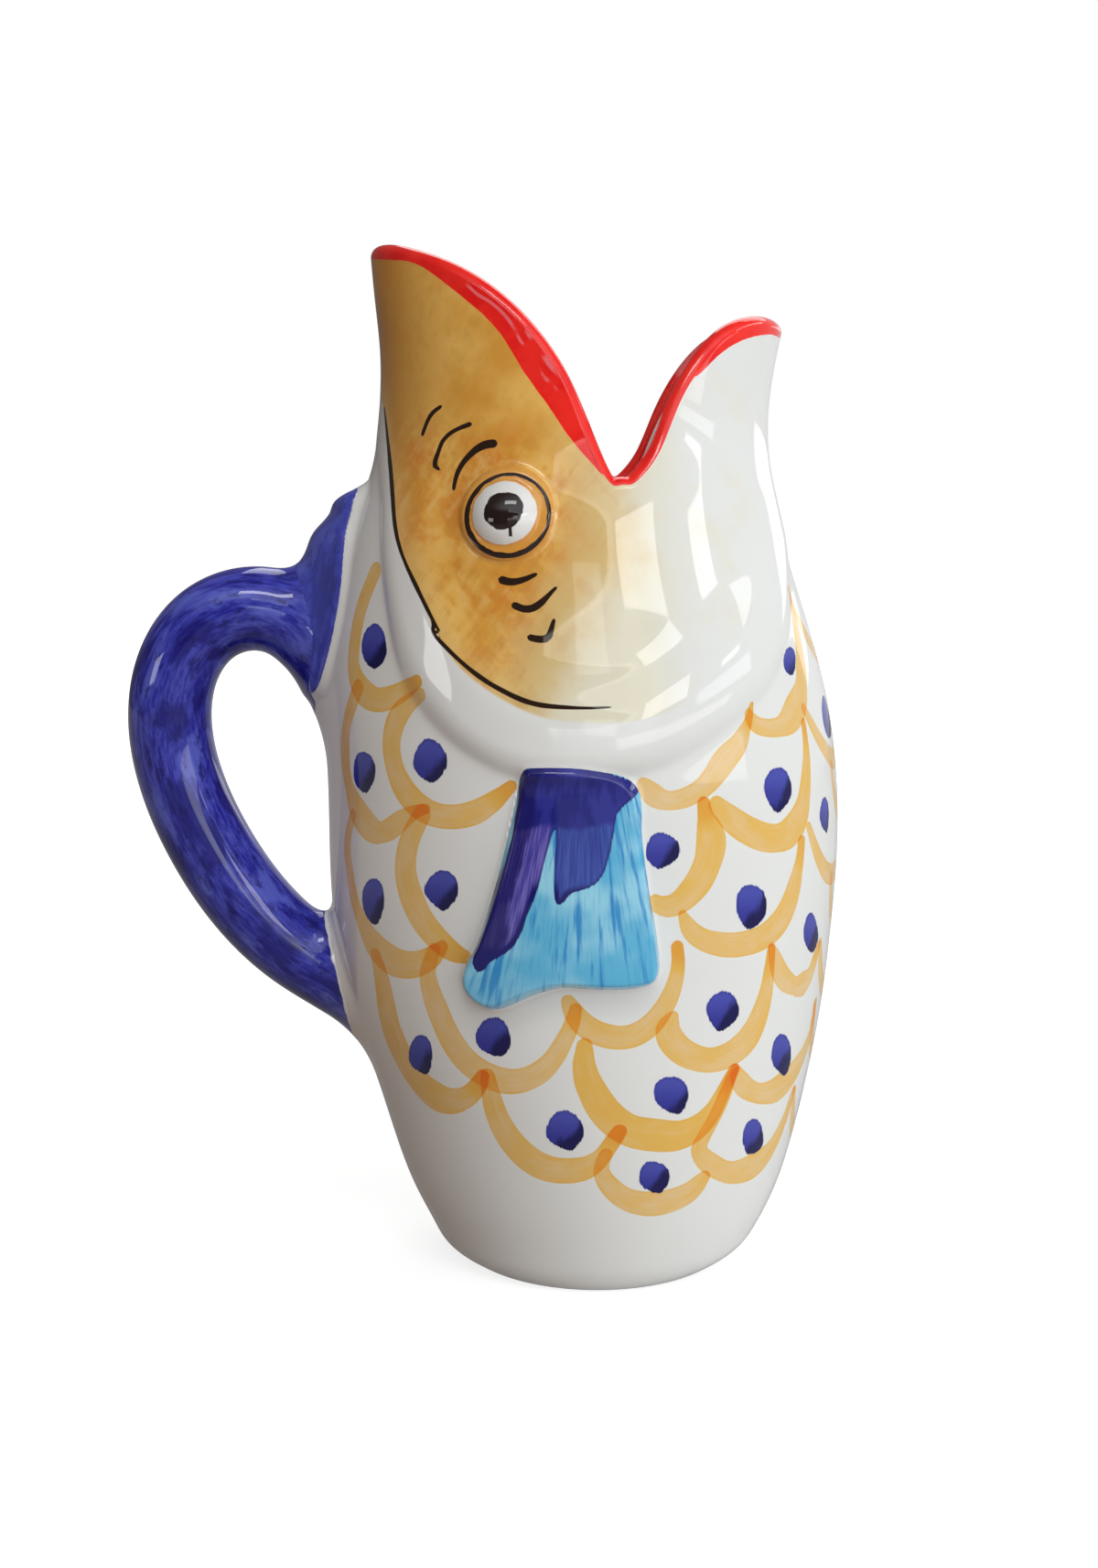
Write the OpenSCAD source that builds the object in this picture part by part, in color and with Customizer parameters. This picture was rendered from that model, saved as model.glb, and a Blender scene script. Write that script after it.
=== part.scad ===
// Gurgle jug in the shape of a fish that stands on its cut-off tail end with its mouth open upwards.
// Millimetres. +Z is up, +X points to the lower jaw, over which it pours, and -X to the tail,
// which curls up into the handle. The origin is the centre of the foot.
// The body, the lip, the tail and the relief pieces are the clay members that a potter joins.

/* [Body] */
// Height from the table to the tip of the upper jaw
jug_h = 260; // [236:1:290]
// Depth of the belly from the tail side to the front
belly_l = 132; // [122:1:144]
// Width of the belly from fin to fin
belly_w = 114.5; // [106:0.5:124]
// Thickness of the clay wall
wall_t = 5; // [4:0.5:6]
// Thickness of the floor above the foot ring
floor_t = 7; // [5:0.5:10]
// Depth of the hollow under the foot
foot_hollow_h = 2; // [1:0.5:3]
// Width of the ring that the jug stands on
foot_ring_w = 6; // [4:0.5:9]

/* [Mouth] */
// Height of the tip of the lower jaw
spout_h = 242; // [230:1:252]
// Height of the bottom of the notch between the jaws
notch_h = 203.5; // [196:0.5:210]
// How far round from the front the notch lies, in degrees
notch_angle = 77; // [72:1:84]
// Height of the rolled lip above the end of the wall
lip_h = 6; // [4.5:0.5:8]

/* [Gill roll] */
// Height of the lowest point of the gill roll
gill_low_h = 135.5; // [126:0.5:142]
// Height at which the gill roll fades out behind the head
gill_back_h = 216; // [206:1:222]
// How far the roll stands out from the belly
gill_t = 3.6; // [2:0.2:4.6]
// Width of the roll
gill_w = 14; // [11:0.5:17]

/* [Eyes] */
// Height of the middle of each eye
eye_h = 195; // [188:0.5:200]
// How far behind the jug's axis each eye lies
eye_back = 19.7; // [14:0.1:24]
// Least room between an eye and the lip, for which a high eye moves further back
eye_gap = 4; // [2:0.5:6]
// Diameter of the eye socket's ring
eye_ring_d = 22; // [18:0.5:24]
// Diameter of the bulging eyeball where it leaves the ring
eye_ball_d = 16; // [12:0.5:17]
// How far the eyeball stands out from the ring
eye_ball_t = 3.6; // [2:0.2:5]
// How far the ring stands out from the head
eye_ring_t = 1.4; // [0.8:0.1:2]

/* [Pectoral fins] */
// Height of the upper edge of each fin
fin_top_h = 135; // [130:0.5:135.5]
// Height of each fin from its tip to its upper edge
fin_h = 57; // [50:0.5:64]
// Length of each fin along the body
fin_l = 45; // [40:0.5:50]
// How far the fin's lower edge stands out
fin_t = 5; // [3:0.25:7]
// How far the fin's root stands out under the gill roll
fin_root_t = 2.2; // [1.5:0.1:3]

/* [Tail handle] */
// Height at which the tail leaves the belly
tail_low_h = 72.5; // [66:0.5:80]
// Height of the top of the tail's middle line
tail_high_h = 170; // [164:0.5:174]
// Distance from the back of the belly to the tail's middle line
tail_reach = 41.7; // [36:0.1:48]
// Thickness of the tail, seen from the side
tail_t = 21.5; // [19:0.5:24]
// Width of the tail, seen from behind
tail_w = 24; // [20:0.5:27]
// Thickness of the clay round the tail's air chamber
tail_wall_t = 4.5; // [3.5:0.25:5.5]
// Diameter of the air hole between the belly and the tail
air_hole_d = 9; // [6:0.5:11]

/* [Tail fin] */
// Height of the two tips of the tail fin
tail_fin_top_h = 200; // [196:0.5:204]
// Height of the tail fin from its lower edge to its tips
tail_fin_h = 45; // [40:0.5:48]
// Width of the tail fin across its lobes
tail_fin_w = 41; // [37:0.5:46]
// How far the ridge in the middle of the tail fin stands out
tail_fin_ridge_t = 9.5; // [6:0.5:11]
// How far the rim of the tail fin stands out
tail_fin_rim_t = 1.8; // [1.2:0.2:3]

/* [Hidden] */

// Outline of the jug: height, back, front and half width, as shares of jug_h, half of belly_l twice,
// and half of belly_w
profile_shares = [
    [0, -0.455, 0.52, 0.585],
    [0.012, -0.54, 0.602, 0.645],
    [0.035, -0.612, 0.68, 0.705],
    [0.07, -0.682, 0.747, 0.765],
    [0.12, -0.757, 0.81, 0.835],
    [0.18, -0.83, 0.865, 0.9],
    [0.26, -0.932, 0.922, 0.955],
    [0.34, -0.995, 0.957, 0.988],
    [0.42, -1.012, 0.977, 1],
    [0.5, -1.018, 0.966, 0.99],
    [0.58, -1.033, 0.915, 0.948],
    [0.66, -0.99, 0.822, 0.898],
    [0.73, -0.92, 0.738, 0.838],
    [0.79, -0.832, 0.694, 0.78],
    [0.84, -0.803, 0.688, 0.742],
    [0.9, -0.797, 0.72, 0.706],
    [0.95, -0.815, 0.758, 0.665],
    [1, -0.832, 0.775, 0.61]];

// Lower jaw's edge: share of the way from the front to the notch, and of the rise to spout_h
lower_jaw_shares = [[-0.23, 1], [0, 0.98], [0.23, 1], [0.44, 0.995], [0.55, 0.95], [0.675, 0.82],
                    [0.78, 0.585], [0.857, 0.33], [0.935, 0.1], [1, 0], [1.065, 0.1]];
// Upper jaw's edge: share of the way from the notch to the back, and of the rise to jug_h
upper_jaw_shares = [[-0.05, 0.06], [0, 0], [0.0485, 0.058], [0.097, 0.165], [0.15, 0.307],
                    [0.214, 0.465], [0.272, 0.6], [0.36, 0.746], [0.466, 0.861], [0.592, 0.943],
                    [0.728, 0.988], [1, 1], [1.272, 0.988]];
// Lower edge of the gill roll: share of the way round to the back, and of the rise to gill_back_h
gill_shares = [[-0.1, 0.541], [0, 0.628], [0.1, 0.541], [0.206, 0.305], [0.328, 0.119], [0.428, 0.015],
               [0.486, 0], [0.572, 0.032], [0.65, 0.15], [0.714, 0.367], [0.744, 0.522],
               [0.783, 0.702], [0.856, 0.876], [1, 1], [1.144, 0.876]];
// Heights between which the roll fades into the head, as shares of jug_h
gill_fade_shares = [0.75, 0.85];
// Where the roll swells and where it sinks back into the head, as shares of gill_w
gill_swell_shares = [-0.04, 0.43];
gill_sink_shares = [0.57, 1.86];
gill_sink_share = 0.55;
// The roll is fuller on the sides than at the front and back
gill_end_share = 0.3;

// Columns of the body's skin, a multiple of 8, and its rows as shares of the way up to the gill
// roll, of the roll's width and of the way from there to the end of the wall
columns = 64;
low_row_shares = [0, 0.012, 0.032, 0.062, 0.105, 0.155, 0.215, 0.28, 0.35, 0.42, 0.49, 0.56, 0.63, 0.7,
                  0.77, 0.84, 0.9, 0.95];
roll_row_shares = [-0.05, 0.08, 0.18, 0.28, 0.42, 0.6];
high_row_shares = [0.08, 0.17, 0.27, 0.37, 0.47, 0.57, 0.67, 0.77, 0.86, 0.94, 1];
inner_row_shares = [1, 0.93, 0.85, 0.76, 0.66, 0.56, 0.46, 0.36, 0.26, 0.17, 0.1, 0.05, 0.02, 0];
lip_steps = 5;

// Tail's middle line: distance out from the belly and height, as shares of tail_reach and of the
// rise from tail_low_h to tail_high_h
tail_line_shares = [[-0.42, -0.16], [-0.2, -0.08], [0, 0], [0.23, 0.09], [0.51, 0.205], [0.785, 0.385],
                    [0.947, 0.555], [1, 0.72], [0.916, 0.87], [0.743, 0.958], [0.496, 0.996],
                    [0.276, 0.98], [0.085, 0.92], [-0.1, 0.83], [-0.28, 0.74]];
// Swelling of the tail at its two roots: share of the way along, and share of the thickness
tail_swell_shares = [[0, 1.2], [0.08, 1.14], [0.17, 1.02], [0.25, 1], [0.78, 1], [0.88, 1.04], [1, 1.1]];
tail_steps = 3;
tail_sides = 16;
// Where the air chamber ends and where the tail's last stretch starts, as shares of the way along
tail_chamber_share = 0.82;
tail_end_share = 0.62;

// Outline of a pectoral fin from its upper rear corner round by the front, as shares of fin_l from
// the jug's axis and of fin_h from the tip
fin_shares = [[-0.346, 0.979], [-0.286, 1], [-0.016, 0.993], [0.244, 0.926], [0.286, 0.712],
              [0.315, 0.484], [0.35, 0.277], [0.335, 0.14], [0.246, 0.102], [0.049, 0.098],
              [-0.149, 0.105], [-0.306, 0.07], [-0.492, 0], [-0.592, 0.023], [-0.65, 0.088],
              [-0.636, 0.172], [-0.574, 0.268], [-0.463, 0.561], [-0.375, 0.865]];
// Half of the tail fin's outline from the notch between its lobes down, as shares of half of
// tail_fin_w and of tail_fin_h from the lower edge
tail_fin_shares = [[0, 0.85], [0.2, 0.935], [0.415, 1], [0.61, 0.925], [0.756, 0.8], [0.927, 0.62],
                   [1, 0.42], [0.94, 0.2], [0.78, 0.04], [0.4, 0.0], [0, 0]];
// Rings of a relief pad from its rim to its middle: share of the way out, and share of its height
pad_ring_shares = [[1, 0.5], [0.985, 0.82], [0.95, 1], [0.75, 1], [0.5, 1], [0.25, 1]];
outline_steps = 2;
// Height of the tail fin's ridge along its height, as shares of tail_fin_h and tail_fin_ridge_t
ridge_shares = [[0, 0.7], [0.2, 0.9], [0.5, 1], [0.77, 0.88], [0.89, 0.55], [1, 0.15]];

// Named overrun for cuts
overrun = wall_t / 5;

glaze_white = [0.9, 0.89, 0.87];
lip_red = [0.78, 0.09, 0.1];
tail_blue = [0.16, 0.16, 0.52];
fin_turquoise = [0.35, 0.65, 0.8];

// Value in column col of a smooth curve through the rows of a table, at x in its first column
function row_below(table, x) =
    max([for (k = [0 : len(table) - 2]) if (k == 0 || table[k][0] <= x) k]);
function row_slope(table, k, col) =
    let (a = max(k - 1, 0), b = min(k + 1, len(table) - 1))
    (table[b][col] - table[a][col]) / (table[b][0] - table[a][0]);
function on_curve(table, x, col = 1) =
    let (k = row_below(table, x), span = table[k + 1][0] - table[k][0],
         t = min(max((x - table[k][0]) / span, 0), 1), u = 1 - t)
    u * u * (1 + 2 * t) * table[k][col] + t * t * (3 - 2 * t) * table[k + 1][col]
    + t * u * u * span * row_slope(table, k, col) - t * t * u * span * row_slope(table, k + 1, col);
// Smooth step from 0 at a to 1 at b
function ramp(a, b, x) = let (t = min(max((x - a) / (b - a), 0), 1)) t * t * (3 - 2 * t);
// Angle from the front, from 0 to 180 on either side
function fold(a) = a > 180 ? 360 - a : a;

// Height of the lip's crest and of the gill roll's lower edge, a degrees round from the front
function crest_h(a) = let (f = fold(a))
    f < notch_angle
        ? notch_h + (spout_h - notch_h) * on_curve(lower_jaw_shares, f / notch_angle)
        : notch_h + (jug_h - notch_h) * on_curve(upper_jaw_shares, (f - notch_angle) / (180 - notch_angle));
function gill_h(a) =
    gill_low_h + (gill_back_h - gill_low_h) * on_curve(gill_shares, fold(a) / 180);
// Length along the roll's edge for each unit of length round the body
arc_degree = PI / 180 * belly_l / 2;
function gill_tilt(a) =
    norm([1, (gill_h(a + 1) - gill_h(a - 1)) / 2 / arc_degree]);
// How far the skin stands out at height z because of the gill roll
function gill_relief(a, z) =
    let (d = (z - gill_h(a)) / gill_tilt(a) / gill_w,
         swell = ramp(gill_swell_shares[0], gill_swell_shares[1], d),
         sink = gill_sink_share * ramp(gill_sink_shares[0], gill_sink_shares[1], d),
         fade = 1 - ramp(gill_fade_shares[0], gill_fade_shares[1], z / jug_h),
         fullness = gill_end_share + (1 - gill_end_share) * pow(sin(a), 2))
    gill_t * (swell - sink) * fade * fullness;

// Middle, half length and half width of the jug's section at height z
function back_x(z) = on_curve(profile_shares, z / jug_h, 1) * belly_l / 2;
function front_x(z) = on_curve(profile_shares, z / jug_h, 2) * belly_l / 2;
function half_width(z) = on_curve(profile_shares, z / jug_h, 3) * belly_w / 2;
function middle_x(z) = (front_x(z) + back_x(z)) / 2;
function half_length(z) = (front_x(z) - back_x(z)) / 2;
// Point of the plain skin at angle a and height z, moved out by the length out
function plain_skin(a, z, out) =
    let (half_l = half_length(z), half_w = half_width(z), n = [cos(a) / half_l, sin(a) / half_w])
    [middle_x(z) + half_l * cos(a) + out * n.x / norm(n), half_w * sin(a) + out * n.y / norm(n), z];
function skin(a, z, out = 0) = plain_skin(a, z, gill_relief(a, z) + out);

// Heights of the skin's rows at angle a
function wall_end_h(a) = crest_h(a) - lip_h;
function row_heights(a) =
    let (g = gill_h(a), tilt = gill_tilt(a), first = g + gill_w * roll_row_shares[0] * tilt,
         last = g + gill_w * roll_row_shares[len(roll_row_shares) - 1] * tilt)
    concat([for (s = low_row_shares) first * s],
           [for (s = roll_row_shares) g + gill_w * s * tilt],
           [for (s = high_row_shares) last + (wall_end_h(a) - last) * s]);
rows = len(low_row_shares) + len(roll_row_shares) + len(high_row_shares);
angles = [for (j = [0 : columns - 1]) 360 * j / columns];
heights = [for (a = angles) row_heights(a)];
skin_grid = [for (j = [0 : columns - 1]) [for (z = heights[j]) skin(angles[j], z)]];

// Faces of the four-sided cell with its corners at a, b, c, d, seen clockwise from outside, split
// from a to c, or from b to d on the mirrored side
function cell(a, b, c, d, mirrored = false) =
    mirrored ? [[a, b, d], [b, c, d]] : [[a, b, c], [a, c, d]];
function joined(lists) = [for (l = lists) for (x = l) x];

// The cast shell: outer rows, the end of the wall, inner rows, and the two faces of the floor
module shell() {
    n = columns;
    inner = [for (s = inner_row_shares) for (a = angles)
                plain_skin(a, floor_t + (wall_end_h(a) - floor_t) * s, -wall_t)];
    outer = [for (i = [0 : rows - 1]) for (j = [0 : n - 1]) skin_grid[j][i]];
    all_rows = rows + len(inner_row_shares);
    points = concat(outer, inner, [[0, 0, floor_t], [0, 0, 0]]);
    middle_in = all_rows * n;
    middle_out = middle_in + 1;
    walls = [for (i = [0 : all_rows - 2]) for (j = [0 : n - 1])
                let (k = (j + 1) % n)
                for (f = cell(i * n + j, (i + 1) * n + j, (i + 1) * n + k, i * n + k, j < n / 2)) f];
    last = (all_rows - 1) * n;
    top = [for (j = [0 : n - 1]) [last + j, middle_in, last + (j + 1) % n]];
    bottom = [for (j = [0 : n - 1]) [(j + 1) % n, middle_out, j]];
    polyhedron(points, concat(walls, top, bottom), convexity = 6);
}

// Rows of the skin that take in the heights from z0 to z1 over the columns from j0 to j1
function rows_between(z0, z1, j0, j1) =
    [max([for (i = [0 : rows - 1])
             if (i == 0 || max([for (j = [j0 : j1]) heights[j % columns][i]]) < z0) i]),
     min([for (i = [0 : rows - 1])
             if (i == rows - 1 || min([for (j = [j0 : j1]) heights[j % columns][i]]) > z1) i])];
// Seat of a piece on the skin, from angle a0 to a1 and height z0 to z1: what is cut from the piece,
// so that the two meet face to face. The cut reaches in from the skin by the vector inward.
module seat(a0, a1, z0, z1, inward) {
    j0 = floor(a0 * columns / 360);
    j1 = ceil(a1 * columns / 360);
    span = rows_between(z0, z1, j0, j1);
    m = span[1] - span[0] + 1;
    n = j1 - j0 + 1;
    over = [for (i = [span[0] : span[1]]) for (j = [j0 : j1]) skin_grid[j % columns][i]];
    under = [for (p = over) p + inward];
    u = m * n;
    sheets = [for (i = [0 : m - 2]) for (j = [0 : n - 2])
                 let (p = i * n + j, q = p + n, side = (j + j0) % columns < columns / 2)
                 for (f = concat(cell(u + p, u + q, u + q + 1, u + p + 1, side),
                                 [for (t = cell(p, q, q + 1, p + 1, side)) [t[2], t[1], t[0]]])) f];
    ends = [for (j = [0 : n - 2]) for (f = concat(
                cell(j, u + j, u + j + 1, j + 1),
                cell(u - n + j + 1, 2 * u - n + j + 1, 2 * u - n + j, u - n + j))) f];
    sides = [for (i = [0 : m - 2]) for (f = concat(
                cell((i + 1) * n, u + (i + 1) * n, u + i * n, i * n),
                cell(i * n + n - 1, u + i * n + n - 1, u + (i + 1) * n + n - 1, (i + 1) * n + n - 1))) f];
    polyhedron(concat(under, over), concat(sheets, ends, sides), convexity = 6);
}

module jug_body() {
    color(glaze_white) difference() {
        shell();
        foot_hollow();
        air_hole();
    }
}
// Shallow hollow that leaves a ring to stand on
module foot_hollow() {
    outline = [for (a = angles) let (p = plain_skin(a, 0, -foot_ring_w)) [p.x, p.y]];
    translate([0, 0, -overrun]) linear_extrude(foot_hollow_h + overrun) polygon(outline);
}
// Round hole through the wall at the tail's lower root, along the tail
module air_hole() {
    from = tail_line[tail_steps * 2];
    along = tail_line[tail_steps] - from;
    translate([from.x, 0, from.y]) rotate([0, atan2(along.x, along.y), 0])
        translate([0, 0, -overrun * 2]) cylinder(h = norm(along) + 5 * wall_t, d = air_hole_d, $fn = 48);
}

// The lip is a rounded roll on the end of the wall
module mouth_lip() {
    n = columns;
    r = wall_t / 2;
    turn = 180 / lip_steps;
    m = lip_steps + 3;
    points = [for (a = angles) let (z = wall_end_h(a), top = crest_h(a))
        for (k = [0 : m - 1])
            k == 0 ? skin_grid[a * n / 360][rows - 1]
            : k == m - 1 ? plain_skin(a, z, -wall_t)
            : let (phi = (k - 1) * turn)
              plain_skin(a, top - r + r * sin(phi), -r + r * cos(phi))];
    faces = [for (j = [0 : n - 1]) let (p = j * m, q = (j + 1) % n * m)
        for (k = [0 : m - 1]) let (l = (k + 1) % m)
            for (f = cell(p + k, p + l, q + l, q + k, j < n / 2)) f];
    color(lip_red) polyhedron(points, faces, convexity = 6);
}

// Middle line of the tail as [x, z], smooth through its points
tail_nodes = [for (p = tail_line_shares)
    [-belly_l / 2 - tail_reach * p.x, tail_low_h + (tail_high_h - tail_low_h) * p.y]];
function along_line(p, k, t) =
    let (n = len(p) - 1, a = p[max(k - 1, 0)], b = p[k], c = p[k + 1], d = p[min(k + 2, n)])
    (2 * b + (c - a) * t + (2 * a - 5 * b + 4 * c - d) * t * t + (3 * b - a - 3 * c + d) * t * t * t) / 2;
tail_line = concat([for (k = [0 : len(tail_nodes) - 2]) for (s = [0 : tail_steps - 1])
    along_line(tail_nodes, k, s / tail_steps)], [tail_nodes[len(tail_nodes) - 1]]);
tail_last = len(tail_line) - 1;

function tail_ring(k, wall) =
    let (c = tail_line[k], d = tail_line[min(k + 1, tail_last)] - tail_line[max(k - 1, 0)],
         n = [-d.y, d.x] / norm(d), swell = on_curve(tail_swell_shares, k / tail_last),
         thick = tail_t / 2 * swell - wall, wide = tail_w / 2 * swell - wall)
    [for (s = [0 : tail_sides - 1]) let (phi = 360 * s / tail_sides)
        [c.x + n.x * thick * cos(phi), wide * sin(phi), c.y + n.y * thick * cos(phi)]];
// Stretch of the tail from ring first to its end, with its air chamber if it is bored
module tail(first, bored) {
    m = tail_sides;
    n = tail_last - first + 1;
    chamber = round(tail_last * tail_chamber_share) - first + 1;
    outer = [for (k = [first : tail_last]) for (p = tail_ring(k, 0)) p];
    inner = bored ? [for (k = [first : first + chamber - 1]) for (p = tail_ring(k, tail_wall_t)) p] : [];
    o = n * m;
    walls = [for (k = [0 : n - 2]) for (s = [0 : m - 1]) let (t = (s + 1) % m)
        for (f = cell(k * m + s, k * m + t, (k + 1) * m + t, (k + 1) * m + s)) f];
    hollow = bored ? [for (k = [0 : chamber - 2]) for (s = [0 : m - 1]) let (t = (s + 1) % m)
        for (f = cell(o + (k + 1) * m + s, o + (k + 1) * m + t, o + k * m + t, o + k * m + s)) f] : [];
    start = bored ? [for (s = [0 : m - 1]) let (t = (s + 1) % m) for (f = cell(s, o + s, o + t, t)) f]
                  : [[for (s = [0 : m - 1]) s]];
    end = [[for (s = [m - 1 : -1 : 0]) (n - 1) * m + s]];
    stop = bored ? [[for (s = [0 : m - 1]) o + (chamber - 1) * m + s]] : [];
    polyhedron(concat(outer, inner), concat(walls, hollow, start, end, stop), convexity = 8);
}
module tail_handle() {
    half_angle = asin(tail_w * 1.6 / belly_w);
    inward = [tail_reach * 0.6 + tail_t, 0, 0];
    color(tail_blue) difference() {
        tail(0, true);
        seat(180 - half_angle, 180 + half_angle, tail_low_h - tail_t * 1.8, tail_low_h + tail_t * 1.4, inward);
        seat(180 - half_angle, 180 + half_angle, tail_high_h - tail_t * 2.2, tail_high_h + tail_t, inward);
    }
}

// Closed smooth curve through the points of an outline
function rounded(p) = let (n = len(p))
    [for (k = [0 : n - 1]) for (s = [0 : outline_steps - 1])
        let (t = s / outline_steps, a = p[(k + n - 1) % n], b = p[k], c = p[(k + 1) % n], d = p[(k + 2) % n])
        (2 * b + (c - a) * t + (2 * a - 5 * b + 4 * c - d) * t * t + (3 * b - a - 3 * c + d) * t * t * t) / 2];
// Raised pad inside an outline that runs clockwise, seen from outside. place(p, s) is the point of
// the jug's skin at p of the outline's plane, raised by s of the pad's height there
module pad(outline, middle, place) {
    n = len(outline);
    m = len(pad_ring_shares);
    rings = [for (r = pad_ring_shares) for (p = outline) place(middle + (p - middle) * r[0], r[1])];
    under = [for (p = outline) place(p, -1)];
    centre = (m + 1) * n;
    polyhedron(concat(under, rings, [place(middle, 1), place(middle, -1)]), concat(
        [for (r = [0 : m - 1]) for (k = [0 : n - 1]) let (l = (k + 1) % n)
            for (f = cell(r * n + l, (r + 1) * n + l, (r + 1) * n + k, r * n + k)) f],
        [for (k = [0 : n - 1]) [m * n + k, m * n + (k + 1) % n, centre]],
        [for (k = [0 : n - 1]) [(k + 1) % n, k, centre + 1]]), convexity = 4);
}
// Angle round the jug of the point x on its right-hand side, or y on its back
function side_angle(x, z) = 360 - acos((x - middle_x(z)) / half_length(z));
function back_angle(y, z) = 180 - asin(y / half_width(z));

// The tail fin is pressed flat on the back of the head, and always reaches down round the end of
// the tail
module tail_fin() {
    low = min(tail_fin_top_h - tail_fin_h, tail_high_h - tail_t * 0.7);
    high = tail_fin_top_h - low;
    half_angle = asin(min(tail_fin_w / belly_w * 1.25, 1));
    half = [for (p = tail_fin_shares) [-p.x * tail_fin_w / 2, low + p.y * high]];
    outline = rounded(concat(half, [for (k = [len(half) - 2 : -1 : 1]) [-half[k].x, half[k].y]]));
    ridge = function (p)
        let (side = min(abs(p.x) / tail_fin_w * 2, 1), s = min(max((p.y - low) / high, 0), 1),
             middle = on_curve(ridge_shares, s) * tail_fin_ridge_t)
        tail_fin_rim_t + max(middle - tail_fin_rim_t, 0) * pow(cos(side * 90), 2);
    place = function (p, s) skin(back_angle(p.x, p.y), p.y, s * (s < 0 ? tail_fin_rim_t : ridge(p)));
    color(tail_blue) difference() {
        pad(outline, [0, low + high / 2], place);
        tail(round(tail_last * tail_end_share), false);
        seat(180 - half_angle, 180 + half_angle, low - tail_fin_rim_t, tail_fin_top_h + tail_fin_rim_t,
             [tail_fin_w, 0, 0]);
    }
}

// Right-hand fin: a raised pad whose lower edge stands furthest from the belly
module pectoral_fin() {
    low = fin_top_h - fin_h;
    outline = rounded([for (p = fin_shares) [p.x * fin_l, low + p.y * fin_h]]);
    swell = function (z) fin_root_t + (fin_t - fin_root_t) * ramp(0, 1, (fin_top_h - z) / fin_h);
    place = function (p, s) skin(side_angle(p.x, p.y), p.y, s * (s < 0 ? fin_root_t : swell(p.y)));
    rear = side_angle(min([for (p = outline) p.x]), low) - 180 / columns;
    front = side_angle(max([for (p = outline) p.x]), low) + 180 / columns;
    difference() {
        pad(outline, [0, low + fin_h / 2], place);
        seat(rear, front, low - fin_root_t, fin_top_h + fin_root_t, [0, fin_l, 0]);
    }
}
module right_pectoral_fin() color(fin_turquoise) pectoral_fin();
module left_pectoral_fin() color(fin_turquoise) mirror([0, 1, 0]) pectoral_fin();

// Angle of the right-hand eye: the first one from a backwards where the lip leaves room all round it
eye_half_angle = asin(eye_ring_d / belly_w);
function clear_angle(a) =
    a < 181 || wall_end_h(a + eye_half_angle) > eye_h + eye_ring_d / 2 + eye_gap ? a : clear_angle(a - 1);
// Right-hand eye: a ring with a bulging ball in it, square to the head
module eye() {
    r = eye_ring_d / 2;
    a = clear_angle(side_angle(-eye_back, eye_h));
    at = skin(a, eye_h);
    up = skin(a, eye_h + r) - skin(a, eye_h - r);
    round_it = skin(a + 1, eye_h) - skin(a - 1, eye_h);
    out = cross(round_it, up);
    inward = -out / norm(out) * eye_ring_d;
    ball_r = (pow(eye_ball_d / 2, 2) + pow(eye_ball_t, 2)) / 2 / eye_ball_t;
    // The ring's outer edge is rounded down to the head
    side = [for (k = [0 : 4]) [r - eye_ring_t + eye_ring_t * cos(k * 22.5), eye_ring_t * sin(k * 22.5)]];
    difference() {
        translate(at) rotate([0, atan2(norm([out.x, out.y]), out.z), atan2(out.y, out.x)]) {
            rotate_extrude($fn = 48) polygon(concat([[0, -r], [r, -r]], side, [[0, eye_ring_t]]));
            intersection() {
                translate([0, 0, eye_ring_t + eye_ball_t - ball_r]) sphere(r = ball_r, $fn = 48);
                cylinder(h = ball_r * 2, r = eye_ball_d / 2, $fn = 48);
            }
        }
        seat(a - eye_half_angle * 1.8, a + eye_half_angle * 1.8, eye_h - r * 1.4, eye_h + r * 1.4, inward);
    }
}
module right_eye() color(glaze_white) eye();
module left_eye() color(glaze_white) mirror([0, 1, 0]) eye();

jug_body();
mouth_lip();
tail_handle();
tail_fin();
right_pectoral_fin();
left_pectoral_fin();
right_eye();
left_eye();
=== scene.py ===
# A fish-shaped gurgle jug: a slip-cast, hand-painted and clear-glazed ceramic jug that stands on its
# cut-off tail end with its mouth open upwards. Lengths are in millimetres until a mesh is made.
import math
import bpy
import numpy as np
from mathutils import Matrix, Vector, kdtree


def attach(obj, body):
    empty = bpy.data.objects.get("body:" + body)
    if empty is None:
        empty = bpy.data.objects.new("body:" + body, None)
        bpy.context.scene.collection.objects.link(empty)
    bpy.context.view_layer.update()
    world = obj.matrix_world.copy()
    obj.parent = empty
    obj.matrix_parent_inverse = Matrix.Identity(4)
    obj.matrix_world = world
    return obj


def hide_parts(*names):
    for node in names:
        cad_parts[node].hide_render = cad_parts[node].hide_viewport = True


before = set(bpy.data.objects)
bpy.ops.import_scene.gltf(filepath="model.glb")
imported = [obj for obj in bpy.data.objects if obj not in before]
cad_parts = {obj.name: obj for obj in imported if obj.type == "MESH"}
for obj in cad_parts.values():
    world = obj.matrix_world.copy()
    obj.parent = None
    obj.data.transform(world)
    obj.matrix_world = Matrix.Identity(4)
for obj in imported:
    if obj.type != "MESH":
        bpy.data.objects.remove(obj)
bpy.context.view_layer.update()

# The camera stands square to the jug's right side, as high as the notch between its jaws, and looks
# a little down, as the photographer's did. Its lens gives the photograph's frame in pixels.
MM = 0.001
PHOTO_W, PHOTO_H = 1200, 1714
SENSOR = 36.0
camera_at = np.array([-10.0, -600.0, 205.0])
camera_aim = np.array([-10.0, 0.0, 124.3])
focal_px = 2556.0
camera_data = bpy.data.cameras.new("camera")
camera_data.sensor_width = SENSOR
camera_data.lens = focal_px / PHOTO_H * SENSOR
camera = bpy.data.objects.new("camera", camera_data)
camera.location = camera_at * MM
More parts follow.
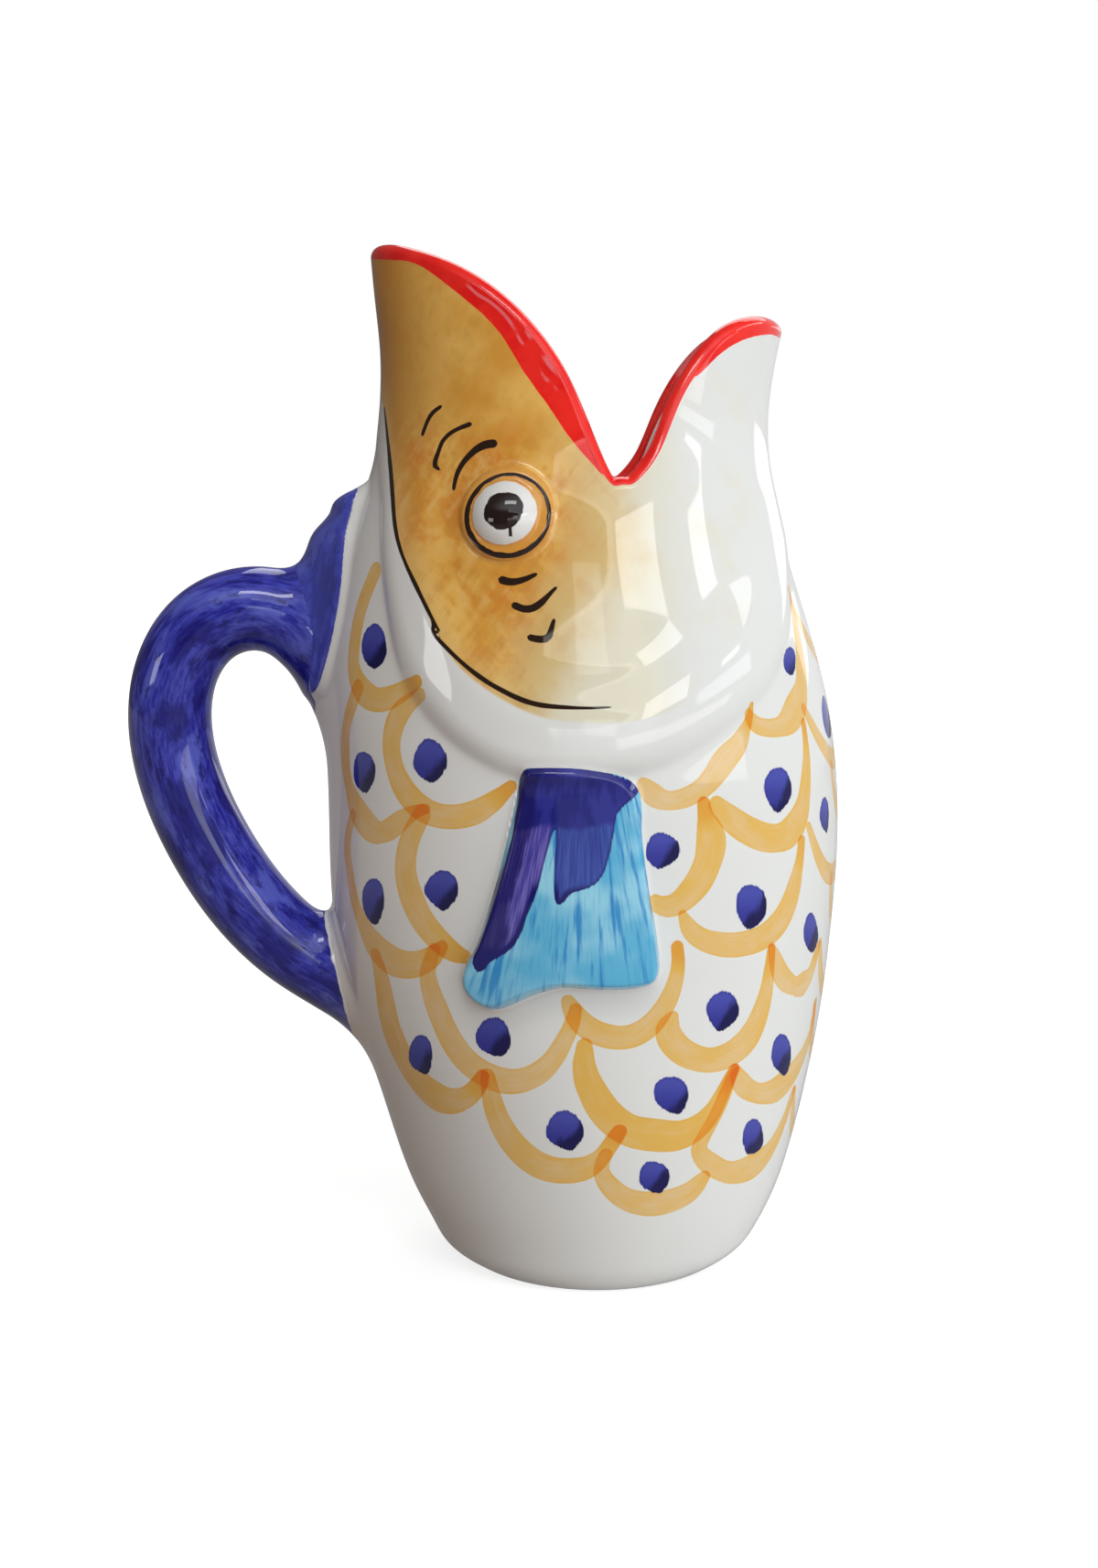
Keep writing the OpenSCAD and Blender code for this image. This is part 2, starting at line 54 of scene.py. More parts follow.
camera.rotation_euler = Vector(camera_aim - camera_at).to_track_quat("-Z", "Y").to_euler()
bpy.context.scene.collection.objects.link(camera)
bpy.context.scene.camera = camera

# The body is cast in a two-part mould in white clay, about 5 mm thick: an oval belly, a throat, two
# jaws that open upwards, and a gill roll that runs round the head. Its foot is a ring round a hollow.
JUG_H, HALF_L, HALF_W = 260.0, 66.0, 57.25
WALL, FLOOR, HOLLOW, FOOT_RING = 5.0, 7.0, 2.0, 6.0
SPOUT_H, NOTCH_H, NOTCH_ANGLE, LIP_H = 242.0, 203.5, 77.0, 6.0
GILL_LOW, GILL_BACK, GILL_T, GILL_W = 135.5, 216.0, 3.6, 14.0
profile_shares = [
    [0, -0.455, 0.52, 0.585], [0.012, -0.54, 0.602, 0.645], [0.035, -0.612, 0.68, 0.705],
    [0.07, -0.682, 0.747, 0.765], [0.12, -0.757, 0.81, 0.835], [0.18, -0.83, 0.865, 0.9],
    [0.26, -0.932, 0.922, 0.955], [0.34, -0.995, 0.957, 0.988], [0.42, -1.012, 0.977, 1],
    [0.5, -1.018, 0.966, 0.99], [0.58, -1.033, 0.915, 0.948], [0.66, -0.99, 0.822, 0.898],
    [0.73, -0.92, 0.738, 0.838], [0.79, -0.832, 0.694, 0.78], [0.84, -0.803, 0.688, 0.742],
    [0.9, -0.797, 0.72, 0.706], [0.95, -0.815, 0.758, 0.665], [1, -0.832, 0.775, 0.61]]
lower_jaw_shares = [[-0.23, 1], [0, 0.98], [0.23, 1], [0.44, 0.995], [0.55, 0.95], [0.675, 0.804],
                    [0.78, 0.54], [0.857, 0.265], [0.935, 0.06], [1, 0]]
upper_jaw_shares = [[0.0485, 0.108], [0.097, 0.265], [0.15, 0.417], [0.214, 0.558], [0.272, 0.66],
                    [0.36, 0.78], [0.466, 0.878], [0.592, 0.946], [0.728, 0.988], [1, 1], [1.272, 0.988]]
gill_shares = [[-0.1, 0.541], [0, 0.628], [0.1, 0.541], [0.206, 0.305], [0.328, 0.119], [0.428, 0.015],
               [0.486, 0], [0.572, 0.032], [0.65, 0.15], [0.714, 0.367], [0.744, 0.522],
               [0.783, 0.702], [0.856, 0.876], [1, 1], [1.144, 0.876]]


def smooth_curve(rows, column=1):
    """Value of a column of the table against its first column, on a curve of smooth curvature."""
    x, y = np.array(rows, float)[:, 0], np.array(rows, float)[:, column]
    gap = np.diff(x)
    matrix, right = np.eye(len(x)), np.zeros(len(x))
    for k in range(1, len(x) - 1):
        matrix[k, k - 1:k + 2] = gap[k - 1], 2 * (gap[k - 1] + gap[k]), gap[k]
        right[k] = 6 * ((y[k + 1] - y[k]) / gap[k] - (y[k] - y[k - 1]) / gap[k - 1])
    bend = np.linalg.solve(matrix, right)

    def value(at):
        at = np.clip(at, x[0], x[-1])
        k = np.clip(np.searchsorted(x, at, side="right") - 1, 0, len(x) - 2)
        before, after = at - x[k], x[k + 1] - at
        return ((bend[k] * after ** 3 + bend[k + 1] * before ** 3) / (6 * gap[k])
                + (y[k] / gap[k] - bend[k] * gap[k] / 6) * after
                + (y[k + 1] / gap[k] - bend[k + 1] * gap[k] / 6) * before)
    return value


def ramp(a, b, x):
    """Soft step from 0 at a to 1 at b."""
    t = np.clip((x - a) / (b - a), 0, 1)
    return t * t * t * (t * (6 * t - 15) + 10)


back_share, front_share, width_share = (smooth_curve(profile_shares, k) for k in (1, 2, 3))
crest_curve = smooth_curve(
    [[NOTCH_ANGLE * s, NOTCH_H + (SPOUT_H - NOTCH_H) * h] for s, h in lower_jaw_shares]
    + [[NOTCH_ANGLE + (180 - NOTCH_ANGLE) * s, NOTCH_H + (JUG_H - NOTCH_H) * h]
       for s, h in upper_jaw_shares])
gill_curve = smooth_curve([[180 * s, GILL_LOW + (GILL_BACK - GILL_LOW) * h] for s, h in gill_shares])


def crest_h(angle):
    """Height of the rim, angle degrees round from the front on either side."""
    return crest_curve(np.abs(angle))


def slope_on_body(curve, angle):
    """Rise of a curve round the jug for each millimetre of length round the body."""
    return (curve(np.abs(angle) + 1) - curve(np.abs(angle) - 1)) / 2 / (math.pi / 180 * HALF_L * 0.88)


def gill_relief(angle, z):
    """How far the gill roll stands out from the plain skin."""
    tilt = np.sqrt(1 + slope_on_body(gill_curve, angle) ** 2)
    # d runs up over the roll in shares of its width: it swells fast from its lower edge, rounds over
    # and falls off slowly into the head. It is fullest on the two sides.
    further_out = 0.04 + 0.2 * ramp(70, 112, np.abs(angle))
    d = (z - gill_curve(np.abs(angle))) / tilt / GILL_W + further_out
    climb = np.clip((d + 0.12) / 0.56, -2, 1)
    climb = np.minimum((climb + np.sqrt(climb ** 2 + 0.15 ** 2)) / 2, 1)
    swell = 1 - (1 - climb) ** 2.3 - 0.55 * ramp(0.42, 1.95, d - further_out)
    fullness = 0.3 + 0.7 * np.sin(np.radians(angle)) ** 2
    return GILL_T * swell * (1 - ramp(0.73, 0.87, z / JUG_H)) * fullness


def section(z):
    """Middle, half length and half width of the jug at height z."""
    share = z / JUG_H
    back, front = back_share(share) * HALF_L, front_share(share) * HALF_L
    return (front + back) / 2, (front - back) / 2, width_share(share) * HALF_W


def plain_skin(angle, z, out):
    """Point of the jug's skin, angle degrees round from the front and z up, moved out by out."""
    angle, z, out = np.broadcast_arrays(angle, z, out)
    middle, half_l, half_w = section(z)
    c, s = np.cos(np.radians(angle)), np.sin(np.radians(angle))
    nx, ny = c / half_l, s / half_w
    n = np.hypot(nx, ny)
    return np.stack([middle + half_l * c + out * nx / n, half_w * s + out * ny / n, z], -1)


def base_skin(angle, z, out=0.0):
    """Point of the skin with its gill roll, moved out by out."""
    return plain_skin(angle, z, gill_relief(angle, z) + out)


# The fins, the eyes and the tail fin are raised on the skin of the body, which stays under them.
# These outlines and heights give their relief, for the body's mesh and for the pieces themselves.
FIN_TOP, FIN_H, FIN_L, FIN_T, FIN_ROOT_T = 135.0, 57.0, 45.0, 5.0, 2.2
EYE_X, EYE_H, EYE_RING_R, EYE_BALL_R, EYE_BALL_T, EYE_RING_T = -19.7, 195.0, 11.0, 8.0, 3.6, 1.4
TAIL_FIN_TOP, TAIL_FIN_H, TAIL_FIN_HALF_W, TAIL_FIN_RIDGE, TAIL_FIN_RIM = 200.0, 45.0, 20.5, 9.5, 1.8
fin_shares = [[-0.346, 0.979], [-0.286, 1], [-0.016, 0.993], [0.215, 0.926], [0.243, 0.712],
              [0.282, 0.484], [0.325, 0.277], [0.33, 0.14], [0.246, 0.102], [0.049, 0.098],
              [-0.149, 0.105], [-0.306, 0.07], [-0.492, 0], [-0.592, 0.023], [-0.65, 0.088],
              [-0.636, 0.172], [-0.574, 0.268], [-0.463, 0.561], [-0.375, 0.865]]
tail_fin_shares = [[0, 0.9], [0.17, 0.95], [0.34, 1], [0.5, 0.96], [0.61, 0.83], [0.77, 0.64],
                   [0.89, 0.44], [0.9, 0.22], [0.8, 0.02], [0.62, -0.1], [0.3, -0.15], [0, -0.16]]
ridge_shares = [[0, 0.12], [0.18, 0.45], [0.36, 0.92], [0.5, 1], [0.7, 1], [0.76, 0.95], [0.82, 0.8],
                [0.87, 0.71], [0.92, 0.74], [0.96, 0.68], [1, 0.45]]
ridge_curve = smooth_curve(ridge_shares)


def closed_curve(points, steps):
    """Smooth closed line through the points."""
    p = np.array(points, float)
    a, b, c, d = np.roll(p, 1, 0), p, np.roll(p, -1, 0), np.roll(p, -2, 0)
    t = (np.arange(steps) / steps)[None, :, None]
    a, b, c, d = (q[:, None, :] for q in (a, b, c, d))
    curve = (2 * b + (c - a) * t + (2 * a - 5 * b + 4 * c - d) * t ** 2
             + (3 * b - a - 3 * c + d) * t ** 3) / 2
    return curve.reshape(-1, p.shape[1])


def depth_inside(points, loop):
    """How far each flat point lies inside the closed loop, negative outside."""
    nearest, inside = np.full(len(points), np.inf), np.zeros(len(points), bool)
    for start, end in zip(loop, np.roll(loop, -1, 0)):
        along = end - start
        t = np.clip((points - start) @ along / (along @ along), 0, 1)
        nearest = np.minimum(nearest, np.linalg.norm(points - start - t[:, None] * along, axis=1))
        crossed = (start[1] > points[:, 1]) != (end[1] > points[:, 1])
        if along[1] != 0:
            inside ^= crossed & (points[:, 0] < start[0] + (points[:, 1] - start[1]) * along[0] / along[1])
    return np.where(inside, nearest, -nearest)


def depth_near(points, loop, margin=6.0):
    """The same, worked out only near the loop."""
    flat = points.reshape(-1, 2)
    depth = np.full(len(flat), -margin)
    near = np.all((flat > loop.min(0) - margin) & (flat < loop.max(0) + margin), axis=1)
    depth[near] = depth_inside(flat[near], loop)
    return depth.reshape(points.shape[:-1])


fin_loop = closed_curve([[x * FIN_L, FIN_TOP - FIN_H + h * FIN_H] for x, h in fin_shares], 6)
tail_fin_low = TAIL_FIN_TOP - TAIL_FIN_H
half_tail_fin = [[y * TAIL_FIN_HALF_W, tail_fin_low + h * TAIL_FIN_H] for y, h in tail_fin_shares]
tail_fin_loop = closed_curve(half_tail_fin + [[-y, h] for y, h in half_tail_fin[-2:0:-1]], 6)


def angle_of_x(x, z):
    """Angle at which the skin of the right side lies at x."""
    middle, half_l, _ = section(z)
    return -np.degrees(np.arccos(np.clip((x - middle) / half_l, -1, 1)))


eye_angle = float(angle_of_x(EYE_X, EYE_H))
eye_centre = base_skin(eye_angle, EYE_H)


def eye_lift(r):
    """Rise of the eye's ring and ball at the distance r from its middle."""
    ball_r = (EYE_BALL_R ** 2 + EYE_BALL_T ** 2) / 2 / EYE_BALL_T
    cap = np.sqrt(np.maximum(ball_r ** 2 - r ** 2, 0)) - (ball_r - EYE_BALL_T)
    ball = (cap + np.sqrt(cap ** 2 + 0.5 ** 2)) / 2
    return EYE_RING_T * (1 - ramp(EYE_RING_R - 1.3, EYE_RING_R + 1.7, r)) + ball * (r < ball_r)


# The tail curls up from the belly to the back of the head, where slip fills the corners round its
# two roots. The slip lies on the body too, so the tail's middle line is needed here.
TAIL_LOW, TAIL_HIGH, TAIL_REACH, TAIL_T, TAIL_W = 72.5, 170.0, 41.7, 21.5, 24.0
tail_line_shares = [[-0.42, -0.08], [-0.2, -0.025], [0, 0.027], [0.23, 0.09], [0.51, 0.205], [0.785, 0.385],
                    [0.947, 0.555], [1, 0.72], [0.916, 0.87], [0.743, 0.958], [0.496, 0.996],
                    [0.276, 0.98], [0.085, 0.92], [-0.1, 0.83], [-0.28, 0.74]]
swell_shares = [[0, 1], [0.08, 1], [0.17, 0.99], [0.25, 1], [0.78, 1], [0.88, 1.04], [1, 1.1]]
tail_swell = smooth_curve(swell_shares)
TAIL_RINGS, TAIL_SIDES = 300, 96
tail_nodes = np.array([[-HALF_L - TAIL_REACH * x, TAIL_LOW + (TAIL_HIGH - TAIL_LOW) * h]
                       for x, h in tail_line_shares])
tail_way = np.concatenate([[0], np.cumsum(np.linalg.norm(np.diff(tail_nodes, axis=0), axis=1))])
tail_at = np.linspace(0, tail_way[-1], TAIL_RINGS)
tail_x, tail_z = (smooth_curve(np.stack([tail_way, tail_nodes[:, k]], -1))(tail_at) for k in (0, 1))
tail_dx, tail_dz = np.gradient(tail_x), np.gradient(tail_z)
tail_norm = np.hypot(tail_dx, tail_dz)
tail_swells = tail_swell(tail_at / tail_way[-1])
FILLET_LOW, FILLET_HIGH, FAR_GAP = 7.5, 8.0, 30.0
NEAR_TAIL_X, NEAR_TAIL_Y, NEAR_TAIL_LOW, NEAR_TAIL_HIGH = -28.0, 26.0, 45.0, 205.0


def gap_to_tail(points):
    """Distance of points from the tail's surface, worked out only near it."""
    flat = points.reshape(-1, 3)
    gap = np.full(len(flat), FAR_GAP)
    near = np.nonzero((flat[:, 0] < NEAR_TAIL_X) & (np.abs(flat[:, 1]) < NEAR_TAIL_Y)
                      & (flat[:, 2] > NEAR_TAIL_LOW) & (flat[:, 2] < NEAR_TAIL_HIGH))[0]
    for part in np.array_split(near, len(near) // 4000 + 1):
        off_x, off_z = flat[part, 0][:, None] - tail_x, flat[part, 2][:, None] - tail_z
        k = (off_x ** 2 + off_z ** 2).argmin(1)
        off_x, off_z = off_x[np.arange(len(part)), k], off_z[np.arange(len(part)), k]
        across = (off_z * tail_dx[k] - off_x * tail_dz[k]) / tail_norm[k]
        length = np.hypot(across, flat[part, 1])
        share = np.hypot(across / TAIL_T, flat[part, 1] / TAIL_W) * 2 / tail_swells[k]
        outside = length * (1 - 1 / np.maximum(share, 0.05))
        beyond = np.maximum(np.abs(off_x * tail_dx[k] + off_z * tail_dz[k]) / tail_norm[k] - 0.5, 0)
        gap[part] = np.where(outside > 0, np.hypot(outside, beyond), outside + beyond)
    return gap.reshape(points.shape[:-1])


def slip_rise(angle, z, lift):
    """Rise of the slip that fills the corner between the skin and the tail's two roots."""
    size = np.where(z > 120, FILLET_HIGH, FILLET_LOW)
    rise = np.zeros(np.broadcast(angle, z).shape)
    near = gap_to_tail(base_skin(angle, z, lift)) < 1.3 * FILLET_HIGH
    angle, z, lift, size = (np.broadcast_to(v, rise.shape)[near] for v in (angle, z, lift, size))
    grown = np.zeros(len(z))
    for _ in range(9):
        gap = np.clip(gap_to_tail(base_skin(angle, z, lift + grown)), size / 4, size)
        grown = grown / 2 + (np.sqrt(size) - np.sqrt(gap)) ** 2 / 2
    rise[near] = grown
    return rise


# The raised pieces reach a little down their own slopes and lie PROUD of the skin, and the body
# stays under them from there inwards.
FIN_OVERLAP, EYE_OVERLAP, WEB_OVERLAP, PROUD = 0.9, 0.5, 0.4, 0.04


def relief(base, under=False):
    """Height of the fins, eyes and tail fin over the plain skin, or of the body under them."""
    x, y, z = base[..., 0], np.abs(base[..., 1]), base[..., 2]
    side, back = np.stack([x, z], -1), np.stack([base[..., 1], z], -1)
    # The fins' outline counts only on the jug's two sides, and the tail fin's only at its back.
    fin_depth = np.where(y > 30, depth_near(side, fin_loop), -6)
    web_depth = np.where(x < -35, depth_near(back, tail_fin_loop), -6)
    r = np.sqrt((x - eye_centre[0]) ** 2 + (y + eye_centre[1]) ** 2 + (z - eye_centre[2]) ** 2)
    if under:
        fin_depth = np.minimum(fin_depth, -FIN_OVERLAP)
        web_depth = np.minimum(web_depth, -WEB_OVERLAP)
        r = np.maximum(r, EYE_RING_R + EYE_OVERLAP)
    fin = FIN_ROOT_T + (FIN_T - FIN_ROOT_T) * ramp(0, 1, (FIN_TOP - z) / FIN_H)
    out = np.clip(np.abs(base[..., 1]) / TAIL_FIN_HALF_W, 0, 1)
    up = np.clip((z - tail_fin_low) / TAIL_FIN_H, 0, 1)
    ridge = ridge_curve(up) * TAIL_FIN_RIDGE
    web = TAIL_FIN_RIM + np.maximum(ridge - TAIL_FIN_RIM, 0) * np.cos(out * math.pi / 2) ** 2
    return fin * ramp(-2.0, 1.5, fin_depth) + eye_lift(r) + web * ramp(-3.2, 1.4, web_depth)


def skin(angle, z, out=0.0):
    """Skin with its relief; the pieces' surfaces and the body's meet on it."""
    lift = relief(base_skin(angle, z))
    return base_skin(angle, z, lift + slip_rise(angle, z, lift) + out)


# Rows of the body's mesh run in one chain from the middle of the hollow foot, up the outside, over
# the lip and down the inside to the middle of the floor. The lip is a piece of its own.
COLUMNS = 640
LIP_R = WALL / 2
angles = -180 + 360 * np.arange(COLUMNS) / COLUMNS
gill_at, tilt_at = gill_curve(np.abs(angles)), np.sqrt(1 + slope_on_body(gill_curve, angles) ** 2)
crest_at = crest_h(angles)
lip_foot = crest_at - LIP_H
crest_slope = crest_curve(np.abs(angles) + 0.5) - crest_curve(np.abs(angles) - 0.5)
crest_slope /= math.pi / 180 * np.hypot(*(base_skin(angles, crest_at)[:, :2]).T)
wall_end = crest_at - LIP_R * np.sqrt(1 + crest_slope ** 2)
FOOT_R, CORNER_R = 0.9, 9.0
chain = []
# The foot: its hollow, the inner edge of its ring, the ring and its rounded outer edge.
foot_flat = plain_skin(angles, 0.0, -FOOT_RING)
for share in (0.3, 0.7, 0.985):
    chain.append(foot_flat * [share, share, 0] + [0, 0, HOLLOW])
for height in (HOLLOW - 0.2, 0.4, 0):
    chain.append(foot_flat + [0, 0, height])
for share in (0.85, 0.5, 0.2):
    chain.append(plain_skin(angles, 0.0, -FOOT_R - (FOOT_RING - FOOT_R) * share))
for turn in np.linspace(90, 0, 6):
    phi = math.radians(turn)
    chain.append(plain_skin(angles, FOOT_R * (1 - math.sin(phi)), -FOOT_R * (1 - math.cos(phi))))
# The outer wall, with its closest rows on the gill roll.
below_roll = gill_at - 0.3 * GILL_W * tilt_at
above_roll = gill_at + 0.8 * GILL_W * tilt_at
outer_z = [FOOT_R + (below_roll - FOOT_R) * s for s in np.linspace(0, 1, 230)[1:]]
outer_z += [below_roll + (above_roll - below_roll) * s for s in np.linspace(0, 1, 27)[1:]]
outer_z += [above_roll + (lip_foot - above_roll) * s for s in np.linspace(0, 1, 170)[1:]]
outer_base = base_skin(angles, np.array(outer_z))
first_outer = len(chain)
outer_lift = slip_rise(angles, np.array(outer_z), relief(outer_base)) + relief(outer_base, under=True)
chain += list(base_skin(angles, np.array(outer_z), outer_lift))
body_top = len(chain) - 1
# The lip: straight at first, then half a round set square to the rim, then down inside.
for share in (0.4, 0.8):
    chain.append(base_skin(angles, lip_foot + (wall_end - lip_foot) * share))
end_out, end_in = base_skin(angles, wall_end), plain_skin(angles, wall_end, -WALL)
end_middle = (end_out + end_in) / 2
along_rim = np.roll(end_middle, -1, 0) - np.roll(end_middle, 1, 0)
across = end_out - end_in
rise = np.cross(along_rim, across)
rise *= -LIP_R / np.linalg.norm(rise, axis=1)[:, None]
for turn in np.linspace(0, 180, 17):
    phi = math.radians(turn)
    chain.append(end_middle + across / 2 * math.cos(phi) + rise * math.sin(phi))
for share in np.linspace(0, 1, 4)[1:]:
    chain.append(plain_skin(angles, wall_end + (lip_foot - wall_end) * share, -WALL))
inner_top = len(chain) - 1
# The inside, with a round corner down to the floor.
for share in np.linspace(0, 1, 46)[1:]:
    chain.append(plain_skin(angles, lip_foot + (FLOOR + CORNER_R - lip_foot) * share, -WALL))
for turn in np.linspace(0, 90, 8)[1:]:
    phi = math.radians(turn)
    inwards = WALL + CORNER_R * (1 - math.cos(phi))
    chain.append(plain_skin(angles, FLOOR + CORNER_R * (1 - math.sin(phi)), -inwards))
floor_edge = chain[-1]
for share in (0.7, 0.4, 0.1):
    chain.append(floor_edge * [share, share, 1])
chain = np.array(chain)
row_way = np.gradient(chain, axis=0)
column_way = np.roll(chain, -1, 1) - np.roll(chain, 1, 1)
chain_normal = np.cross(column_way, row_way)
chain_normal /= np.maximum(np.linalg.norm(chain_normal, axis=2), 1e-12)[..., None]


def grid_faces(rows, columns, start=0):
    """Quads of a grid that closes on itself along its rows."""
    i, j = np.meshgrid(np.arange(rows - 1), np.arange(columns), indexing="ij")
    k = (j + 1) % columns
    quads = np.stack([i * columns + j, i * columns + k, (i + 1) * columns + k, (i + 1) * columns + j], -1)
    return (quads.reshape(-1, 4) + start).tolist()


def fan_faces(ring, centre, flip=False):
    """Triangles from a ring of vertices to the one in its middle."""
    after = np.roll(ring, -1)
    return [[b, a, centre] if flip else [a, b, centre] for a, b in zip(ring.tolist(), after.tolist())]


def make_piece(name, points, faces, normals=None, fields=None):
    """Smooth mesh object of the points in millimetres, with its painted fields as attributes."""
    mesh = bpy.data.meshes.new(name)
    mesh.from_pydata((points * MM).tolist(), [], faces)
    mesh.shade_smooth()
    kinds = {1: ("FLOAT", "value"), 3: ("FLOAT_VECTOR", "vector"), 4: ("FLOAT_COLOR", "color")}
    for label, values in (fields or {}).items():
        kind, part = kinds[values.size // len(values)]
        mesh.attributes.new(label, kind, "POINT").data.foreach_set(part, values.astype(np.float32).ravel())
    if normals is not None:
        mesh.normals_split_custom_set_from_vertices(normals.tolist())
    piece = bpy.data.objects.new(name, mesh)
    bpy.context.scene.collection.objects.link(piece)
    return piece


# The decoration is brushed on the raw glaze over the whole jug. Its strokes were read off the
# photograph as pixels and widths, and are laid on the skin from the camera that the scene uses.
sight = (camera_aim - camera_at) / np.linalg.norm(camera_aim - camera_at)
right_way = np.cross(sight, [0, 0, 1])
right_way /= np.linalg.norm(right_way)
up_way = np.cross(right_way, sight)


def photo_pixel(points):
    """Pixel of the photograph at which each point shows."""
    offset = points - camera_at
    depth = offset @ sight
    return np.stack([PHOTO_W / 2 + focal_px * (offset @ right_way) / depth,
                     PHOTO_H / 2 - focal_px * (offset @ up_way) / depth], -1)


# A net of skin points on the side that the camera sees, found again by their pixels.
SEEK_STEP = 0.75
seek_angle, seek_z = np.meshgrid(np.arange(-180, 0.1, SEEK_STEP), np.arange(0, JUG_H + 2, SEEK_STEP))
seek_skin = base_skin(seek_angle, seek_z)
seek_normal = np.cross(np.gradient(seek_skin, axis=1), np.gradient(seek_skin, axis=0))
seek_seen = (seek_normal * (camera_at - seek_skin)).sum(-1) > 0
seek_px = photo_pixel(seek_skin)
seek_across, seek_up = np.gradient(seek_px, axis=1), np.gradient(seek_px, axis=0)
seek_tree = kdtree.KDTree(int(seek_seen.sum()))
for index in np.flatnonzero(seek_seen):
    seek_tree.insert((*seek_px.reshape(-1, 2)[index], 0), int(index))
seek_tree.balance()


def at_pixels(pixels):
    """Angle and height of the skin that shows at each pixel of the photograph."""
    found = []
    for u, v in pixels:
        _, index, _ = seek_tree.find((u, v, 0))
        row, column = divmod(index, seek_px.shape[1])
        local = np.stack([seek_across[row, column], seek_up[row, column]], -1)
        over = np.clip(np.linalg.solve(local, np.array([u, v]) - seek_px[row, column]), -0.6, 0.6)
        found.append([seek_angle[row, column], seek_z[row, column]] + over * SEEK_STEP)
    return np.array(found)


def open_curve(points, spacing):
    """Smooth open line through the points, with about the given spacing."""
    p = np.array(points, float)
    way = np.concatenate([[0], np.cumsum(np.linalg.norm(np.diff(p[:, :2], axis=0), axis=1))])
    at = np.linspace(0, way[-1], max(int(way[-1] / spacing), 3) + 1)
    return np.stack([smooth_curve(np.stack([way, p[:, k]], -1))(at) for k in range(p.shape[1])], -1)


def other_side(spots):
    """The left side was painted freehand too, so its pattern wanders off the mirrored one."""
    angle, z = spots[:, 0], spots[:, 1]
    return np.stack([-angle + 2.2 * np.sin(z / 21 + 1) * np.sin(np.radians(angle)) ** 2,
                     z + 1.8 * np.sin(angle / 14 + z / 30)], -1)


def stroke_on_skin(pixels, narrowest=0.35, widest=4.6):
    """Middle line, half width and places of a stroke given as pixels and full widths."""
    line = open_curve(pixels, 5)
    way = np.gradient(line[:, :2], axis=0)
    side = np.stack([-way[:, 1], way[:, 0]], -1) / np.linalg.norm(way, axis=1)[:, None]
    spots = at_pixels(line[:, :2])
    left, right = (base_skin(*at_pixels(line[:, :2] + side * line[:, 2:] * k).T) for k in (-0.35, 0.35))
    half = np.linalg.norm(left - right, axis=1) / 1.4
    return spots, np.clip(half, narrowest, np.clip(line[:, 2] * 0.21, 0.5, widest))


def stroke_field(base, spots, half, reach):
    """Edge distance (positive inside), length along and signed distance across a stroke."""
    line = base_skin(*spots.T)
    length = np.concatenate([[0], np.cumsum(np.linalg.norm(np.diff(line, axis=0), axis=1))])
    margin = half.max() + reach
    near = np.nonzero(np.all((base > line.min(0) - margin) & (base < line.max(0) + margin), axis=1))[0]
    points = base[near]
    best = np.full(len(near), -np.inf)
    along, across_line = np.zeros(len(near)), np.zeros(len(near))
    outward = points * [1, 1, 0]
    for k in range(len(line) - 1):
        way = line[k + 1] - line[k]
        t = np.clip((points - line[k]) @ way / (way @ way), 0, 1)
        off = points - line[k] - t[:, None] * way
        gap = np.linalg.norm(off, axis=1)
        inside = half[k] + (half[k + 1] - half[k]) * t - gap
        better = inside > best
        best[better] = inside[better]
        along[better] = (length[k] + t * (length[k + 1] - length[k]))[better]
        side = np.sign((np.cross(way, off) * outward).sum(1))
        # Past the stroke's two round ends, only the distance to its side counts as across.
        if k in (0, len(line) - 2):
            gap = np.sqrt(np.maximum(gap ** 2 - (off @ way) ** 2 / (way @ way), 0))
        across_line[better] = (side * gap)[better]
    kept = best > -reach
    return near[kept], best[kept], along[kept], across_line[kept]


